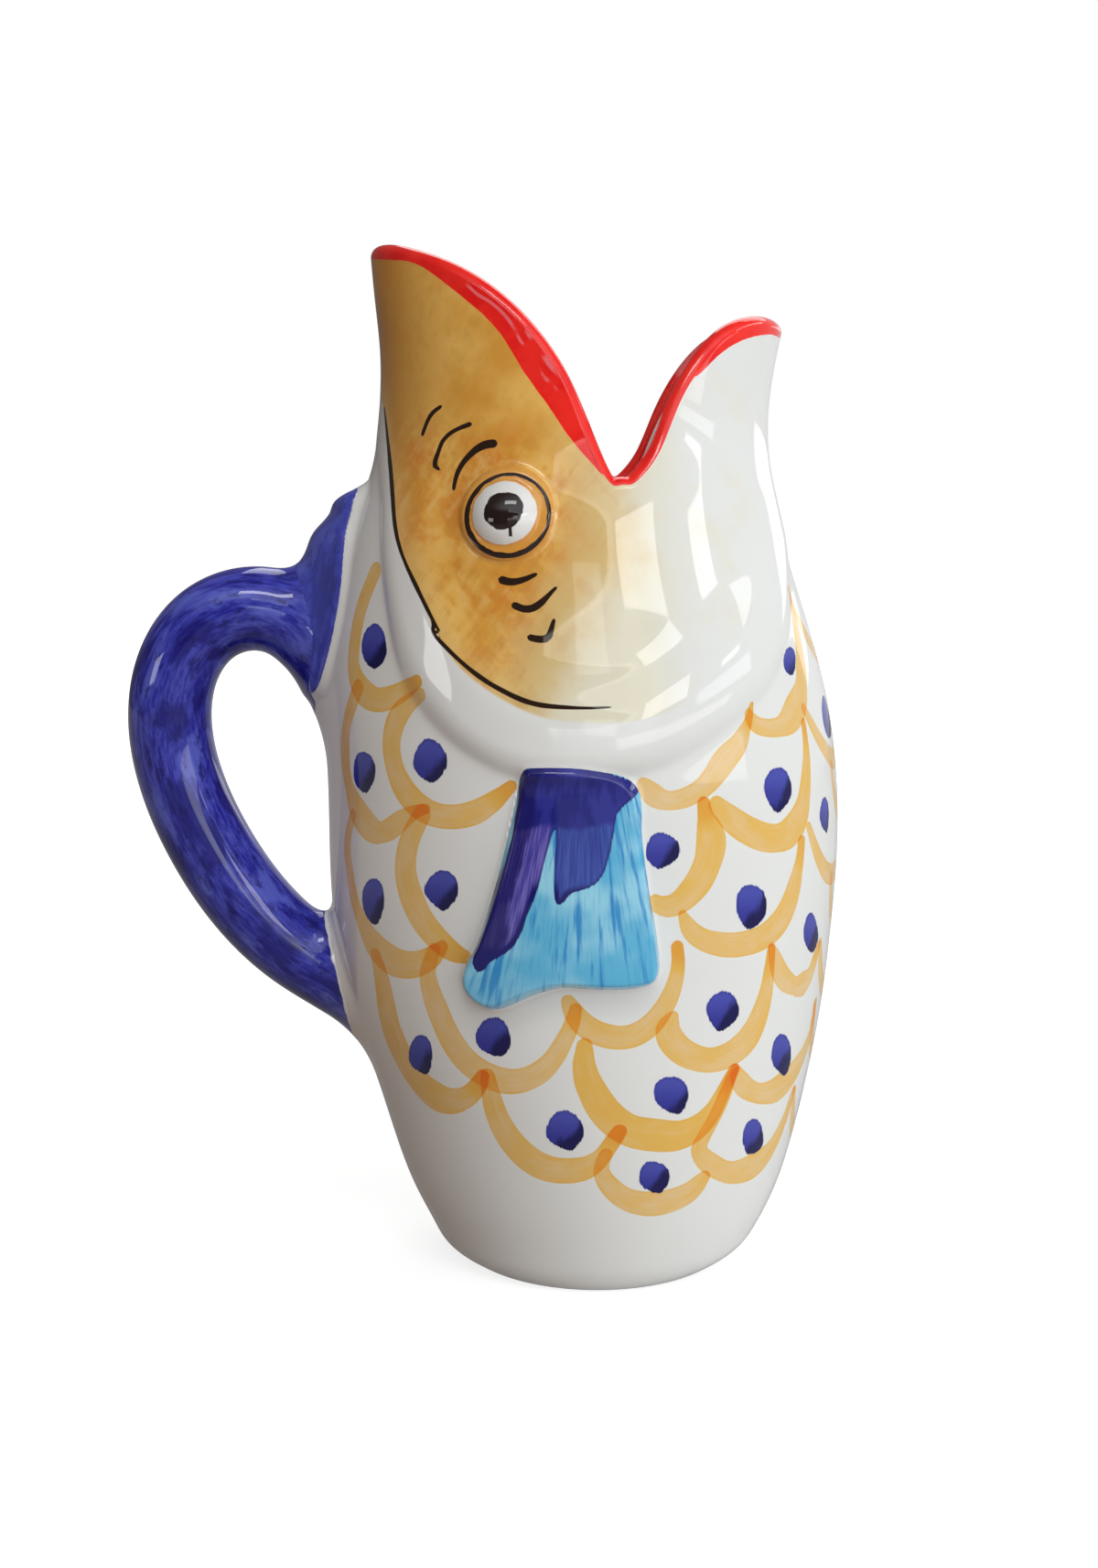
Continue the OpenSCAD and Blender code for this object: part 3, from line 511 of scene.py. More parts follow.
# Ochre scales on the photographed side: load of colour, load at the stroke's end, and the stroke as
# pixels and full widths.
scale_strokes = [
    (0.85, 0.7, [(410, 625, 13), (395, 664, 12), (387, 708, 12), (389, 742, 16), (408, 764, 27),
        (436, 758, 22), (456, 745, 14)]),
    (0.85, 0.9, [(460, 759, 14), (440, 776, 21), (428, 806, 20), (431, 839, 20), (446, 869, 25),
        (469, 888, 27), (493, 893, 27), (519, 888, 27), (543, 873, 21), (559, 859, 13)]),
    (0.8, 0.2, [(391, 752, 12), (380, 787, 10), (377, 826, 12), (383, 865, 13), (396, 895, 22),
        (416, 910, 24), (436, 899, 22), (453, 888, 16), (466, 884, 11)]),
    (0.85, 0.7, [(461, 890, 20), (448, 918, 22), (443, 952, 23), (450, 982, 26), (463, 1008, 26),
        (483, 1031, 25), (503, 1044, 18), (513, 1047, 12)]),
    (0.8, 0.5, [(386, 890, 7), (380, 918, 9), (382, 952, 10), (387, 982, 11), (397, 1011, 14),
        (413, 1038, 23), (433, 1052, 29), (453, 1054, 29), (473, 1045, 23), (484, 1034, 13)]),
    (0.85, 1.0, [(411, 1046, 11), (419, 1081, 17), (425, 1116, 20), (437, 1149, 24), (453, 1176, 26),
        (473, 1196, 27), (493, 1203, 27), (510, 1199, 24), (523, 1186, 20), (528, 1176, 15)]),
    (0.75, 0.2, [(475, 1038, 14), (468, 1060, 17), (473, 1090, 22), (486, 1123, 24), (503, 1152, 26),
        (526, 1172, 27), (553, 1182, 28), (579, 1178, 26), (602, 1161, 23), (616, 1139, 20),
        (626, 1116, 17), (629, 1103, 14)]),
    (0.85, 1.0, [(533, 1176, 16), (539, 1206, 22), (549, 1232, 25), (569, 1259, 28), (592, 1275, 29),
        (616, 1280, 28), (639, 1277, 26), (656, 1266, 20), (668, 1250, 18), (677, 1237, 16)]),
    (1.0, 1.0, [(639, 1143, 18), (639, 1169, 27), (649, 1196, 33), (665, 1219, 36), (689, 1236, 36),
        (715, 1241, 36), (738, 1242, 33), (758, 1235, 27), (778, 1216, 20), (791, 1192, 15),
        (802, 1170, 12)]),
    (0.8, 0.1, [(662, 1262, 15), (657, 1277, 17), (665, 1295, 22), (685, 1311, 25), (712, 1316, 27),
        (735, 1312, 25), (755, 1302, 21), (768, 1288, 14)]),
    (0.85, 1.0, [(621, 1095, 16), (629, 1110, 24), (645, 1125, 27), (665, 1133, 27), (689, 1133, 26),
        (709, 1122, 25), (725, 1103, 22), (737, 1076, 18), (741, 1053, 15), (740, 1035, 14)]),
    (0.85, 0.7, [(735, 1112, 13), (730, 1124, 26), (736, 1140, 31), (754, 1154, 30), (775, 1159, 27),
        (798, 1152, 26), (817, 1136, 24), (830, 1110, 19), (838, 1080, 14), (841, 1057, 11),
        (843, 1038, 9)]),
    (0.8, 0.4, [(805, 1174, 16), (814, 1188, 24), (828, 1195, 22), (845, 1192, 20), (864, 1176, 19),
        (878, 1152, 14), (887, 1123, 9), (891, 1096, 7)]),
    (0.85, 0.1, [(803, 1168, 9), (797, 1184, 12), (789, 1204, 14), (779, 1225, 14), (769, 1243, 15),
        (764, 1258, 18), (775, 1271, 25), (795, 1281, 23), (815, 1278, 22), (835, 1265, 18),
        (848, 1245, 14), (860, 1216, 9), (867, 1192, 7)]),
    (0.85, 0.6, [(746, 1000, 11), (755, 1017, 21), (771, 1028, 25), (793, 1033, 27), (816, 1031, 26),
        (839, 1021, 24), (853, 1006, 21), (864, 983, 17), (870, 960, 13), (874, 940, 9), (876, 920, 8)]),
    (0.9, 1.0, [(716, 986, 18), (723, 990, 22), (737, 989, 25), (752, 978, 28), (766, 960, 30),
        (775, 938, 31), (777, 915, 32), (772, 896, 20), (769, 878, 14)]),
    (0.9, 0.7, [(783, 879, 18), (798, 894, 27), (818, 908, 31), (839, 916, 32), (857, 914, 29),
        (870, 901, 23), (878, 878, 15), (881, 850, 11), (881, 817, 7), (878, 789, 5)]),
    (0.75, 0.5, [(703, 857, 15), (712, 867, 25), (728, 875, 22), (746, 873, 22), (764, 864, 22),
        (780, 848, 25), (793, 830, 27), (807, 813, 21), (814, 798, 13), (819, 783, 8), (821, 771, 5)]),
    (0.8, 0.4, [(817, 779, 8), (825, 791, 16), (841, 796, 20), (857, 792, 23), (868, 778, 24),
        (875, 758, 16), (876, 735, 13), (874, 712, 11), (869, 680, 8), (862, 645, 6)]),
    (0.75, 0.3, [(843, 1035, 8), (848, 1051, 15), (857, 1070, 20), (870, 1078, 20), (881, 1072, 14),
        (889, 1054, 10), (895, 1033, 7)])]
# Scales on the front, which the photograph does not show, as angle from the front, height and width:
# those on both sides, and those across the middle. Beside and under the tail the jug is left white.
side_strokes = [
    (0.8, 0.4, [(-30, 147, 2.4), (-26, 141, 3.6), (-20, 135.5, 4.8), (-12, 132.5, 5.6), (-5, 136, 5.2),
        (-1, 142, 3.8), (0, 148, 2.6)]),
    (0.8, 0.4, [(-33, 118, 2.4), (-28, 110, 4), (-22, 105, 5.2), (-15, 103.5, 5.8), (-7, 106, 5.4),
        (-2, 111, 4), (-1, 117, 2.6)])]
middle_strokes = [
    (0.8, 0.4, [(-21, 173, 2.4), (-16, 164, 4.2), (-7, 158, 5.4), (4, 157.5, 5.4), (14, 163, 4.6),
        (21, 172, 2.6)]),
    (0.85, 0.6, [(-16, 131, 3), (-14, 123, 4.4), (-7, 117, 5.4), (3, 116, 5.6), (12, 121, 4.4),
        (16, 130, 3)]),
    (0.8, 0.4, [(-17, 103, 3), (-14, 95, 4.4), (-6, 89.5, 5.6), (4, 89, 5.6), (13, 94, 4.4), (17, 102, 3)]),
    (0.8, 0.7, [(-22, 87, 2.4), (-18, 78, 4.2), (-9, 72, 5.4), (2, 70.5, 5.6), (14, 75, 5), (21, 85, 2.8)]),
    (0.85, 0.4, [(-20, 70, 2.4), (-17, 61, 4.2), (-8, 54.5, 5.4), (3, 53.5, 5.6), (14, 59, 4.6),
        (21, 69, 2.8)]),
    (0.75, 0.3, [(-25, 49, 2.2), (-19, 39, 4), (-9, 34, 5), (3, 33, 5.2), (15, 37, 4.6), (24, 47, 2.6)])]
# Blue dots: pixel of the middle, half width, half height, lean to the right of the pointed lower end.
scale_dots = [
    (409, 707, 15, 25, 1), (470, 832, 21, 24, 3), (398, 844, 14, 23, 2), (408, 985, 15, 26, 3),
    (483, 973, 20, 22, 1), (460, 1153, 16, 22, 4), (539, 1134, 20, 22, 8), (617, 1236, 22, 22, 8),
    (715, 1287, 17, 18, 4), (733, 1197, 21, 21, 9), (790, 1105, 18, 22, -4), (854, 1153, 11, 23, 2),
    (823, 1243, 15, 20, -5), (886, 1020, 8, 22, 2), (724, 930, 19, 20, -4),
    (821, 991, 20, 25, -1), (850, 863, 17, 25, 0), (901, 891, 5, 20, 2), (863, 723, 7, 16, 1)]
# Dots that the photograph does not show: angle, height, half width and half height.
side_dots = [(-14, 143, 4.3, 5.4)]
middle_dots = [(0, 167.5, 4.6, 4.8), (1, 126, 4.4, 5.2), (-1, 98.5, 4.6, 5.0), (1, 81, 4.4, 5.2),
               (-1, 63.5, 4.6, 5.0), (-9, 42.5, 4.2, 4.8)]
# Black brush lines: the gill line in two strokes, three brows, and three marks under the eye.
black_lines = [
    [(420, 447, 2.4), (423, 474, 3), (426, 505, 3.4), (429, 543, 3.4), (432, 577, 3.4), (440, 608, 3.4),
     (452, 635, 3.8), (465, 662, 3.8), (476, 683, 3.4), (480, 690, 2.5)],
    [(473, 682, 2.2), (473, 690, 3), (480, 700, 3.6), (499, 719, 4), (526, 741, 4.6), (553, 757, 5),
     (583, 769, 5), (614, 773, 4), (645, 774, 3), (668, 773, 1.6)],
    [(481, 445, 3.2), (473, 451, 3.6), (466, 463, 3.6), (462, 474, 3.4)],
    [(513, 464, 4.6), (498, 470, 4), (484, 482, 4), (478, 497, 4), (476, 511, 4.4), (480, 513, 3)],
    [(539, 485, 8), (531, 486, 8), (516, 495, 6), (504, 509, 5), (498, 523, 4), (496, 534, 3.4)],
    [(549, 634, 8), (556, 636, 7.6), (568, 635, 6.4), (579, 631, 5), (585, 628, 4)],
    [(563, 662, 7), (576, 666, 6.4), (590, 660, 6.4), (600, 650, 4.6), (607, 643, 3.4)],
    [(580, 697, 6.6), (591, 699, 6.6), (599, 697, 6.6), (602, 690, 5.6), (605, 679, 4)]]
# Lower edge of the painted head, and of the red band on the upper and the lower jaw.
head_edge = [(420, 452), (424, 500), (430, 560), (438, 605), (459, 652), (475, 690), (497, 724), (540, 760),
             (590, 784), (640, 791), (690, 789), (730, 778), (770, 752), (800, 716), (826, 680)]
red_edge = [(426, 284), (450, 287), (477, 302), (515, 333), (545, 363), (572, 405), (599, 444), (622, 478),
            (647, 507), (664, 524), (678, 527), (690, 519), (705, 499), (723, 466), (745, 430), (770, 404),
            (790, 385), (812, 372), (834, 366), (850, 368)]


def edge_curve(pixels, back, front):
    """Height of an edge against the angle round from the front."""
    spots = at_pixels(pixels)
    spots = spots[np.argsort(-spots[:, 0])]
    rows = [[0, front]]
    rows += [[-a, z] for a, z in spots if 4 < -a < 176]
    rows += [[180, back], [196, back]]
    kept = [rows[0]]
    for row in rows[1:]:
        if row[0] > kept[-1][0] + 1.5:
            kept.append(row)
    return smooth_curve(kept)


THROAT_NARROWS = 1.15
head_edge_curve = edge_curve(head_edge, 223.0, 190.0)
red_edge_curve = edge_curve(red_edge, 257.0, 237.5)


def head_fields(angle, z):
    """Distances inside the painted head and the red band, and the way forward over the throat."""
    head_slope, red_slope = (slope_on_body(curve, angle) for curve in (head_edge_curve, red_edge_curve))
    head = (z - head_edge_curve(np.abs(angle))) / np.sqrt(1 + head_slope ** 2)
    red = (z - red_edge_curve(np.abs(angle))) / np.sqrt(1 + (red_slope * THROAT_NARROWS) ** 2)
    x = base_skin(angle, z)[..., 0]
    return np.stack([head, red, x], -1)


flat_angle = np.broadcast_to(angles, np.shape(outer_z)).ravel()
flat_z = np.array(outer_z).ravel()
flat_base = outer_base.reshape(-1, 3)
strokes = []
for strength, dark_end, pixels in scale_strokes:
    spots, half = stroke_on_skin(pixels)
    strokes += [(spots, half, strength, dark_end), (other_side(spots), half * 1.04, strength, dark_end)]
for strength, dark_end, rows in side_strokes:
    line = open_curve(rows, 1.5)
    strokes += [(line[:, :2], line[:, 2] / 2, strength, dark_end),
                (line[:, :2] * [-1, 1] + [0.4, 0.7], line[:, 2] / 2, strength, dark_end)]
for strength, dark_end, rows in middle_strokes:
    line = open_curve(rows, 1.5)
    strokes.append((line[:, :2], line[:, 2] / 2, strength, dark_end))
# Each field says how deep inside a stroke a vertex lies, and OFF away from it. A stroke that overlaps
# others goes on the next layer, so that their colours lie over each other.
OFF, MARGIN = -3.0, 2.2
scale_layers = []
for number, (spots, half, strength, dark_end) in enumerate(strokes):
    near, inside, along, across_line = stroke_field(flat_base, spots, half, MARGIN)
    load = strength + dark_end * ramp(along.max() - 9, along.max() - 1, along)
    for layer in scale_layers:
        if not layer["taken"][near].any():
            break
    else:
        layer = {"field": np.full((len(flat_base), 4), [OFF, 0, 0, 0.0]),
                 "taken": np.zeros(len(flat_base), bool)}
        scale_layers.append(layer)
    layer["taken"][near] = True
    layer["field"][near] = np.stack([inside, along + 60 * number, across_line, load], -1)
dot_field = np.full((len(flat_base), 4), [OFF, 0, 0, 0.0])
turn = 2 * np.pi * np.arange(40) / 40
dots = []
for number, (u, v, half_u, half_v, lean) in enumerate(scale_dots):
    ragged = 1 + 0.03 * np.sin(3 * turn + number) + 0.02 * np.sin(4 * turn + 2 * number)
    drop = np.clip(np.sin(turn), 0, 1) ** 3
    ring = np.stack([u + half_u * np.cos(turn) * ragged * (1 - 0.35 * drop) + lean * drop,
                     v + half_v * np.sin(turn) * ragged], -1)
    dots += [base_skin(*at_pixels(ring).T), base_skin(*other_side(at_pixels(ring)).T)]
FRONT_R = HALF_L * 0.7
placed = [(angle * side, z, w, h) for angle, z, w, h in side_dots for side in (1, -1)] + middle_dots
for number, (angle, z, half_w, half_h) in enumerate(placed):
    ragged = 1 + 0.05 * np.sin(3 * turn + 2 * number) + 0.03 * np.sin(4 * turn + number)
    round_angle = angle + np.degrees(half_w * np.cos(turn) * ragged / FRONT_R)
    dots.append(base_skin(round_angle, z - half_h * np.sin(turn) * ragged))
MOST_HALF_WIDTH, DOT_REACH = 5.0, 14.0
for number, corners in enumerate(dots):
    middle = corners.mean(0)
    out = np.array([middle[0], middle[1] * 1.3, 0])
    out /= np.linalg.norm(out)
    level = np.cross([0, 0, 1], out)
    flat_ring = np.stack([(corners - middle) @ level, corners[:, 2] - middle[2]], -1)
    flat_ring[:, 0] *= min(1.0, MOST_HALF_WIDTH / np.abs(flat_ring[:, 0]).max())
    near = np.nonzero(np.linalg.norm(flat_base - middle, axis=1) < DOT_REACH)[0]
    local = flat_base[near] - middle
    flat = np.stack([local @ level, local[:, 2]], -1)
    depth = depth_inside(flat, flat_ring)
    kept = depth > -MARGIN
    values = np.stack([depth, flat[:, 0], flat[:, 1], np.full(len(near), number * 2.3 + 1)], -1)
    dot_field[near[kept]] = values[kept]
line_field = np.full((len(flat_base), 4), [0, OFF, 0, 0.0])
for number, pixels in enumerate(black_lines):
    spots, half = stroke_on_skin(pixels, 0.15)
    for places in (spots, spots * [-1, 1]):
        near, inside, along, across_line = stroke_field(flat_base, places, half * 1.2, MARGIN)
        nearer = inside > np.maximum(line_field[near, 1] - np.abs(line_field[near, 0]), -2.0)
        half_here = np.where(inside > -0.9, inside + np.abs(across_line), OFF)
        line_field[near[nearer]] = np.stack([across_line, half_here, along,
                                             np.full(len(near), number * 1.3 + 1)], -1)[nearer]

# The body's mesh: the foot and the outer wall, the inside, and two rows hidden under the lip.
below = chain[:first_outer].reshape(-1, 3)
inside_wall = chain[inner_top:].reshape(-1, 3)
n_below, n_outer, n_inside = len(below), len(flat_base), len(inside_wall)
hidden_out, hidden_in = chain[body_top], chain[inner_top]
body_points = np.concatenate([chain[:body_top + 1].reshape(-1, 3), inside_wall, hidden_out, hidden_in,
                              [[0, 0, HOLLOW], [0, 0, FLOOR]]])
body_normals = np.concatenate([
    chain_normal[:body_top + 1].reshape(-1, 3), chain_normal[inner_top:].reshape(-1, 3),
    np.tile([0, 0, 1.0], (2 * COLUMNS, 1)), [[0, 0, -1.0], [0, 0, 1.0]]])
start_inside = n_below + n_outer
start_hidden = start_inside + n_inside
foot_centre = start_hidden + 2 * COLUMNS
body_faces = grid_faces(body_top + 1, COLUMNS)
body_faces += grid_faces(n_inside // COLUMNS, COLUMNS, start_inside)
body_faces += grid_faces(2, COLUMNS, start_hidden)
body_faces += fan_faces(np.arange(COLUMNS), foot_centre, flip=True)
body_faces += fan_faces(start_hidden - COLUMNS + np.arange(COLUMNS), foot_centre + 1)


def padded(values, fill, inside=None):
    """The outer wall's values, with plain ones for the foot, the inside and the hidden rim."""
    inside = np.tile(fill, (n_inside, 1)) if inside is None else inside
    hidden = np.tile(fill, (2 * COLUMNS + 2, 1))
    return np.concatenate([np.tile(fill, (n_below, 1)), values, inside, hidden])


head_outer = head_fields(flat_angle, flat_z)
RED_INSIDE = 8.0
depth_in_mouth = (chain[inner_top:, :, 2] - crest_at + RED_INSIDE).ravel()
mouth_fields = np.stack([np.full(n_inside, OFF), np.clip(depth_in_mouth, OFF, 3), np.zeros(n_inside)], -1)
body_fields = {"head": padded(head_outer, [OFF, OFF, 0.0], mouth_fields)}
for number, layer in enumerate(scale_layers):
    body_fields["scales_%d" % (number + 1)] = padded(layer["field"], [OFF, 0, 0, 0.0])
body_fields["dots"] = padded(dot_field, [OFF, 0, 0, 0.0])
body_fields["lines"] = padded(line_field, [0, OFF, 0, 0.0])
body = make_piece("cast_body", body_points, body_faces, body_normals, body_fields)


# The body's material: white clay, colours brushed on, and one clear, glossy glaze over all. The nodes
# that paint more than one piece are groups, and the rest of each material is its own.
def add_node(tree, kind, inputs=None, **settings):
    """Node of the kind, with its inputs linked or set."""
    made = tree.nodes.new(kind)
    for name, value in settings.items():
        setattr(made, name, value)
    for socket, value in (inputs or {}).items():
        if isinstance(value, bpy.types.NodeSocket):
            tree.links.new(value, made.inputs[socket])
        else:
            made.inputs[socket].default_value = value
    return made


def maths(tree, operation, *values, clamp=False):
    """Result of one maths node."""
    return add_node(tree, "ShaderNodeMath", dict(enumerate(values)), operation=operation,
                    use_clamp=clamp).outputs[0]


def plus(tree, a, b, clamp=False):
    return maths(tree, "ADD", a, b, clamp=clamp)


def minus(tree, a, b):
    return maths(tree, "SUBTRACT", a, b)


def times(tree, a, b, clamp=False):
    return maths(tree, "MULTIPLY", a, b, clamp=clamp)


def step(tree, value, low, high, to_low=0.0, to_high=1.0):
    """Soft step of a value between two limits."""
    inputs = {"Value": value, "From Min": low, "From Max": high, "To Min": to_low, "To Max": to_high}
    return add_node(tree, "ShaderNodeMapRange", inputs, interpolation_type="SMOOTHSTEP").outputs["Result"]


def blend(tree, amount, under, over, kind="MIX"):
    """Colour over laid on the colour under by the amount."""
    return add_node(tree, "ShaderNodeMix", {0: amount, 6: under, 7: over}, data_type="RGBA",
                    blend_type=kind).outputs[2]


def linear(r, g, b):
    """Colour given by the 8-bit values that it has in a photograph."""
    shares = [c / 255 for c in (r, g, b)]
    return tuple(((c + 0.055) / 1.055) ** 2.4 if c > 0.04 else c / 12.92 for c in shares) + (1,)


def new_group(name, inputs, outputs):
    """Node group with its sockets, its inputs' sockets, and the node that takes its results."""
    group = bpy.data.node_groups.new(name, "ShaderNodeTree")
    for socket, kind, value in inputs:
        made = group.interface.new_socket(socket, in_out="INPUT", socket_type=kind)
        if value is not None:
            made.default_value = value
    for socket, kind in outputs:
        group.interface.new_socket(socket, in_out="OUTPUT", socket_type=kind)
    return group, group.nodes.new("NodeGroupInput").outputs, group.nodes.new("NodeGroupOutput")


def noise(tree, vector, scale, detail=3.0, rough=0.5):
    """Cloudy value between 0 and 1, with its mean at one half."""
    inputs = {"Vector": vector, "Scale": scale, "Detail": detail, "Roughness": rough}
    return add_node(tree, "ShaderNodeTexNoise", inputs).outputs["Fac"]


def wander(tree, value, size):
    """A cloudy value turned into a drift of half the size to either side."""
    return times(tree, minus(tree, value, 0.5), size)


# Brush streaks: how thick the colour lies along a stroke, from its length along, its distance
# across and a number for each stroke.
streaks, given, result = new_group(
    "brush_streaks", [(socket, "NodeSocketFloat", 0.0) for socket in ("Along", "Across", "Stroke")],
    [("Bristles", "NodeSocketFloat"), ("Clouds", "NodeSocketFloat")])
bristle_at = add_node(streaks, "ShaderNodeCombineXYZ", {
    0: times(streaks, given["Along"], 0.06), 1: times(streaks, given["Across"], 1.5),
    2: times(streaks, given["Stroke"], 7.3)}).outputs[0]
cloud_at = add_node(streaks, "ShaderNodeCombineXYZ", {
    0: times(streaks, given["Along"], 0.12), 1: times(streaks, given["Across"], 0.25),
    2: given["Stroke"]}).outputs[0]
streaks.links.new(noise(streaks, bristle_at, 1.6, 4.0), result.inputs["Bristles"])
streaks.links.new(noise(streaks, cloud_at, 1.0, 2.0), result.inputs["Clouds"])

# Glaze wobble: the slow waves of a poured glaze over hand-finished clay.
WOBBLE_SCALE, WOBBLE_H = 38.0, 0.00018
GLAZE_ROUGHNESS, GLAZE_IOR = 0.035, 1.5
wobble, given, result = new_group("glaze_wobble", [], [("Height", "NodeSocketFloat")])
place = add_node(wobble, "ShaderNodeTexCoord").outputs["Object"]
wobble.links.new(noise(wobble, place, WOBBLE_SCALE, 1.0, 0.4), result.inputs["Height"])


def use_group(tree, group, inputs=None):
    """Outputs of the group, placed in the tree with its own inputs."""
    return add_node(tree, "ShaderNodeGroup", inputs, node_tree=group).outputs


def field(tree, name):
    """Four values of a painted field: its three channels and its alpha."""
    found = add_node(tree, "ShaderNodeAttribute", attribute_name=name)
    parts = add_node(tree, "ShaderNodeSeparateColor", {0: found.outputs["Color"]}).outputs
    return parts[0], parts[1], parts[2], found.outputs["Alpha"]


# Head paint: gold sponged over the head, browner at the back, thinning to cream over the throat.
GOLD_LIGHT, GOLD_DARK, BROWN = linear(240, 190, 98), linear(222, 158, 62), linear(196, 128, 34)
ORANGE, HATCH_DARK, HATCH_LIGHT = linear(218, 134, 46), linear(204, 122, 38), linear(238, 200, 130)
GOLD_RIM, TAN = linear(238, 200, 126), linear(220, 190, 128)
TAN_HATCH, CREAM = linear(206, 150, 66), linear(230, 224, 200)
CHEEK_MIDDLE = 0.184
head_paint, given, result = new_group(
    "head_paint", [("Under", "NodeSocketColor", None)],
    [("Color", "NodeSocketColor"), ("Red", "NodeSocketFloat")])
tree = head_paint
# The field holds millimetres inside the gold and inside the red, and the place from back to front.
head_in, red_in, forward, _ = field(tree, "head")
place = add_node(tree, "ShaderNodeTexCoord").outputs["Object"]
height = add_node(tree, "ShaderNodeSeparateXYZ", {0: place}).outputs[2]
cloud = noise(tree, place, 34.0, 4.0, 0.6)
patch = noise(tree, place, 75.0, 5.0, 0.65)
slant = []
for turn, scale in ((0.75, 330.0), (-0.6, 380.0)):
    turned = add_node(tree, "ShaderNodeMapping", {"Vector": place, "Rotation": (0.0, turn, 0.0)}).outputs[0]
    turned = add_node(tree, "ShaderNodeMapping", {"Vector": turned, "Scale": (1.0, 1.0, 0.14)}).outputs[0]
    slant.append(noise(tree, turned, scale, 3.0, 0.6))
# Two fine slanted noises cross as the hatching of the brush.
hatch = times(tree, plus(tree, slant[0], slant[1]), 0.5)
wavy = wander(tree, cloud, 26.0)
forward_wavy = plus(tree, forward, wavy)
# Under the cheek's middle the gold ends further back, the lower the further.
low = maths(tree, "MAXIMUM", minus(tree, CHEEK_MIDDLE, height), 0.0)
forward_low = plus(tree, forward_wavy, times(tree, low, 620.0))
cheek = step(tree, plus(tree, height, times(tree, wavy, 0.0006)), 0.222, 0.205)
gold = blend(tree, step(tree, cloud, 0.4, 0.62), GOLD_LIGHT, GOLD_DARK)
gold = blend(tree, step(tree, forward_wavy, -34.0, -52.0, 0.0, 0.6), gold, BROWN)
orange = times(tree, step(tree, patch, 0.46, 0.6), plus(tree, cheek, 0.12, clamp=True))
gold = blend(tree, times(tree, orange, 0.75), gold, ORANGE)
brushed = times(tree, cheek, 0.3)
gold = blend(tree, times(tree, step(tree, hatch, 0.48, 0.62), brushed), gold, HATCH_DARK)
gold = blend(tree, times(tree, step(tree, hatch, 0.5, 0.38), brushed), gold, HATCH_LIGHT)
gold = blend(tree, step(tree, head_in, 8.0, 0.0, 0.0, 0.6), gold, GOLD_RIM)
tan = blend(tree, step(tree, forward_low, -14.0, 6.0), gold, TAN)
tan = blend(tree, step(tree, hatch, 0.5, 0.62, 0.0, 0.3), tan, TAN_HATCH)
cream = blend(tree, step(tree, forward_low, 2.0, 18.0), tan, CREAM)
strength = times(tree, step(tree, head_in, -0.3, 0.6), step(tree, forward_wavy, 30.0, 8.0))
faint = times(tree, step(tree, patch, 0.42, 0.72, 0.0, 0.5),
              times(tree, step(tree, head_in, 0.0, 3.0), step(tree, forward_wavy, 46.0, 34.0)))
painted = blend(tree, maths(tree, "MAXIMUM", strength, faint), given["Under"], cream)
red_mask = step(tree, plus(tree, red_in, wander(tree, patch, 0.9)), -0.12, 0.12)
tree.links.new(painted, result.inputs["Color"])
tree.links.new(red_mask, result.inputs["Red"])

# Red band: brushed on along the rim in two or three passes, with two pale pink streaks along it as a
# painted highlight of the rounded lip.
RED_LIGHT, RED_DARK, RED_HIGHLIGHT_PINK = linear(252, 44, 34), linear(240, 22, 20), linear(252, 150, 158)
red_paint, given, result = new_group("red_paint", [], [("Color", "NodeSocketColor")])
tree = red_paint
place = add_node(tree, "ShaderNodeTexCoord").outputs["Object"]
pass_cloud = noise(tree, place, 120.0, 3.0, 0.6)
red = blend(tree, step(tree, pass_cloud, 0.35, 0.7), RED_LIGHT, RED_DARK)
in_band = plus(tree, field(tree, "head")[1], wander(tree, noise(tree, place, 60.0, 2.0, 0.5), 5.0))
# Painted highlight: two pale pink streaks along the band where the rounded lip catches the light; thin is
# their mask.
for middle, width in ((3.0, 0.55), (5.6, 0.8)):
    away = maths(tree, "ABSOLUTE", minus(tree, in_band, middle))
    thin = times(tree, step(tree, away, width, 0.15), step(tree, pass_cloud, 0.44, 0.56))
    red = blend(tree, times(tree, thin, 0.5), red, RED_HIGHLIGHT_PINK)
tree.links.new(red, result.inputs["Color"])

WHITE, BLACK = linear(232, 232, 229), linear(42, 24, 14)
OCHRE, OCHRE_TWICE = linear(255, 203, 100), linear(252, 222, 170)
DOT_TOP, DOT_LOW = linear(70, 76, 172), linear(48, 50, 148)
DOT_RIM, DOT_POOL = linear(34, 30, 120), linear(10, 4, 76)


def glaze_shader(name):
    """Material with one clear glossy glaze; its base colour is linked afterwards."""
    material = bpy.data.materials.new(name)
    material.use_nodes = True
    tree = material.node_tree
    shader = tree.nodes["Principled BSDF"]
    shader.inputs["Roughness"].default_value = GLAZE_ROUGHNESS
    shader.inputs["IOR"].default_value = GLAZE_IOR
    height = use_group(tree, wobble)["Height"]
    bump = add_node(tree, "ShaderNodeBump", {"Strength": 1.0, "Distance": WOBBLE_H, "Height": height})
    tree.links.new(bump.outputs[0], shader.inputs["Normal"])
    return material, tree, shader


body_material, tree, shader = glaze_shader("painted_white_glaze")
head_group = use_group(tree, head_paint, {"Under": WHITE})
colour = head_group["Color"]
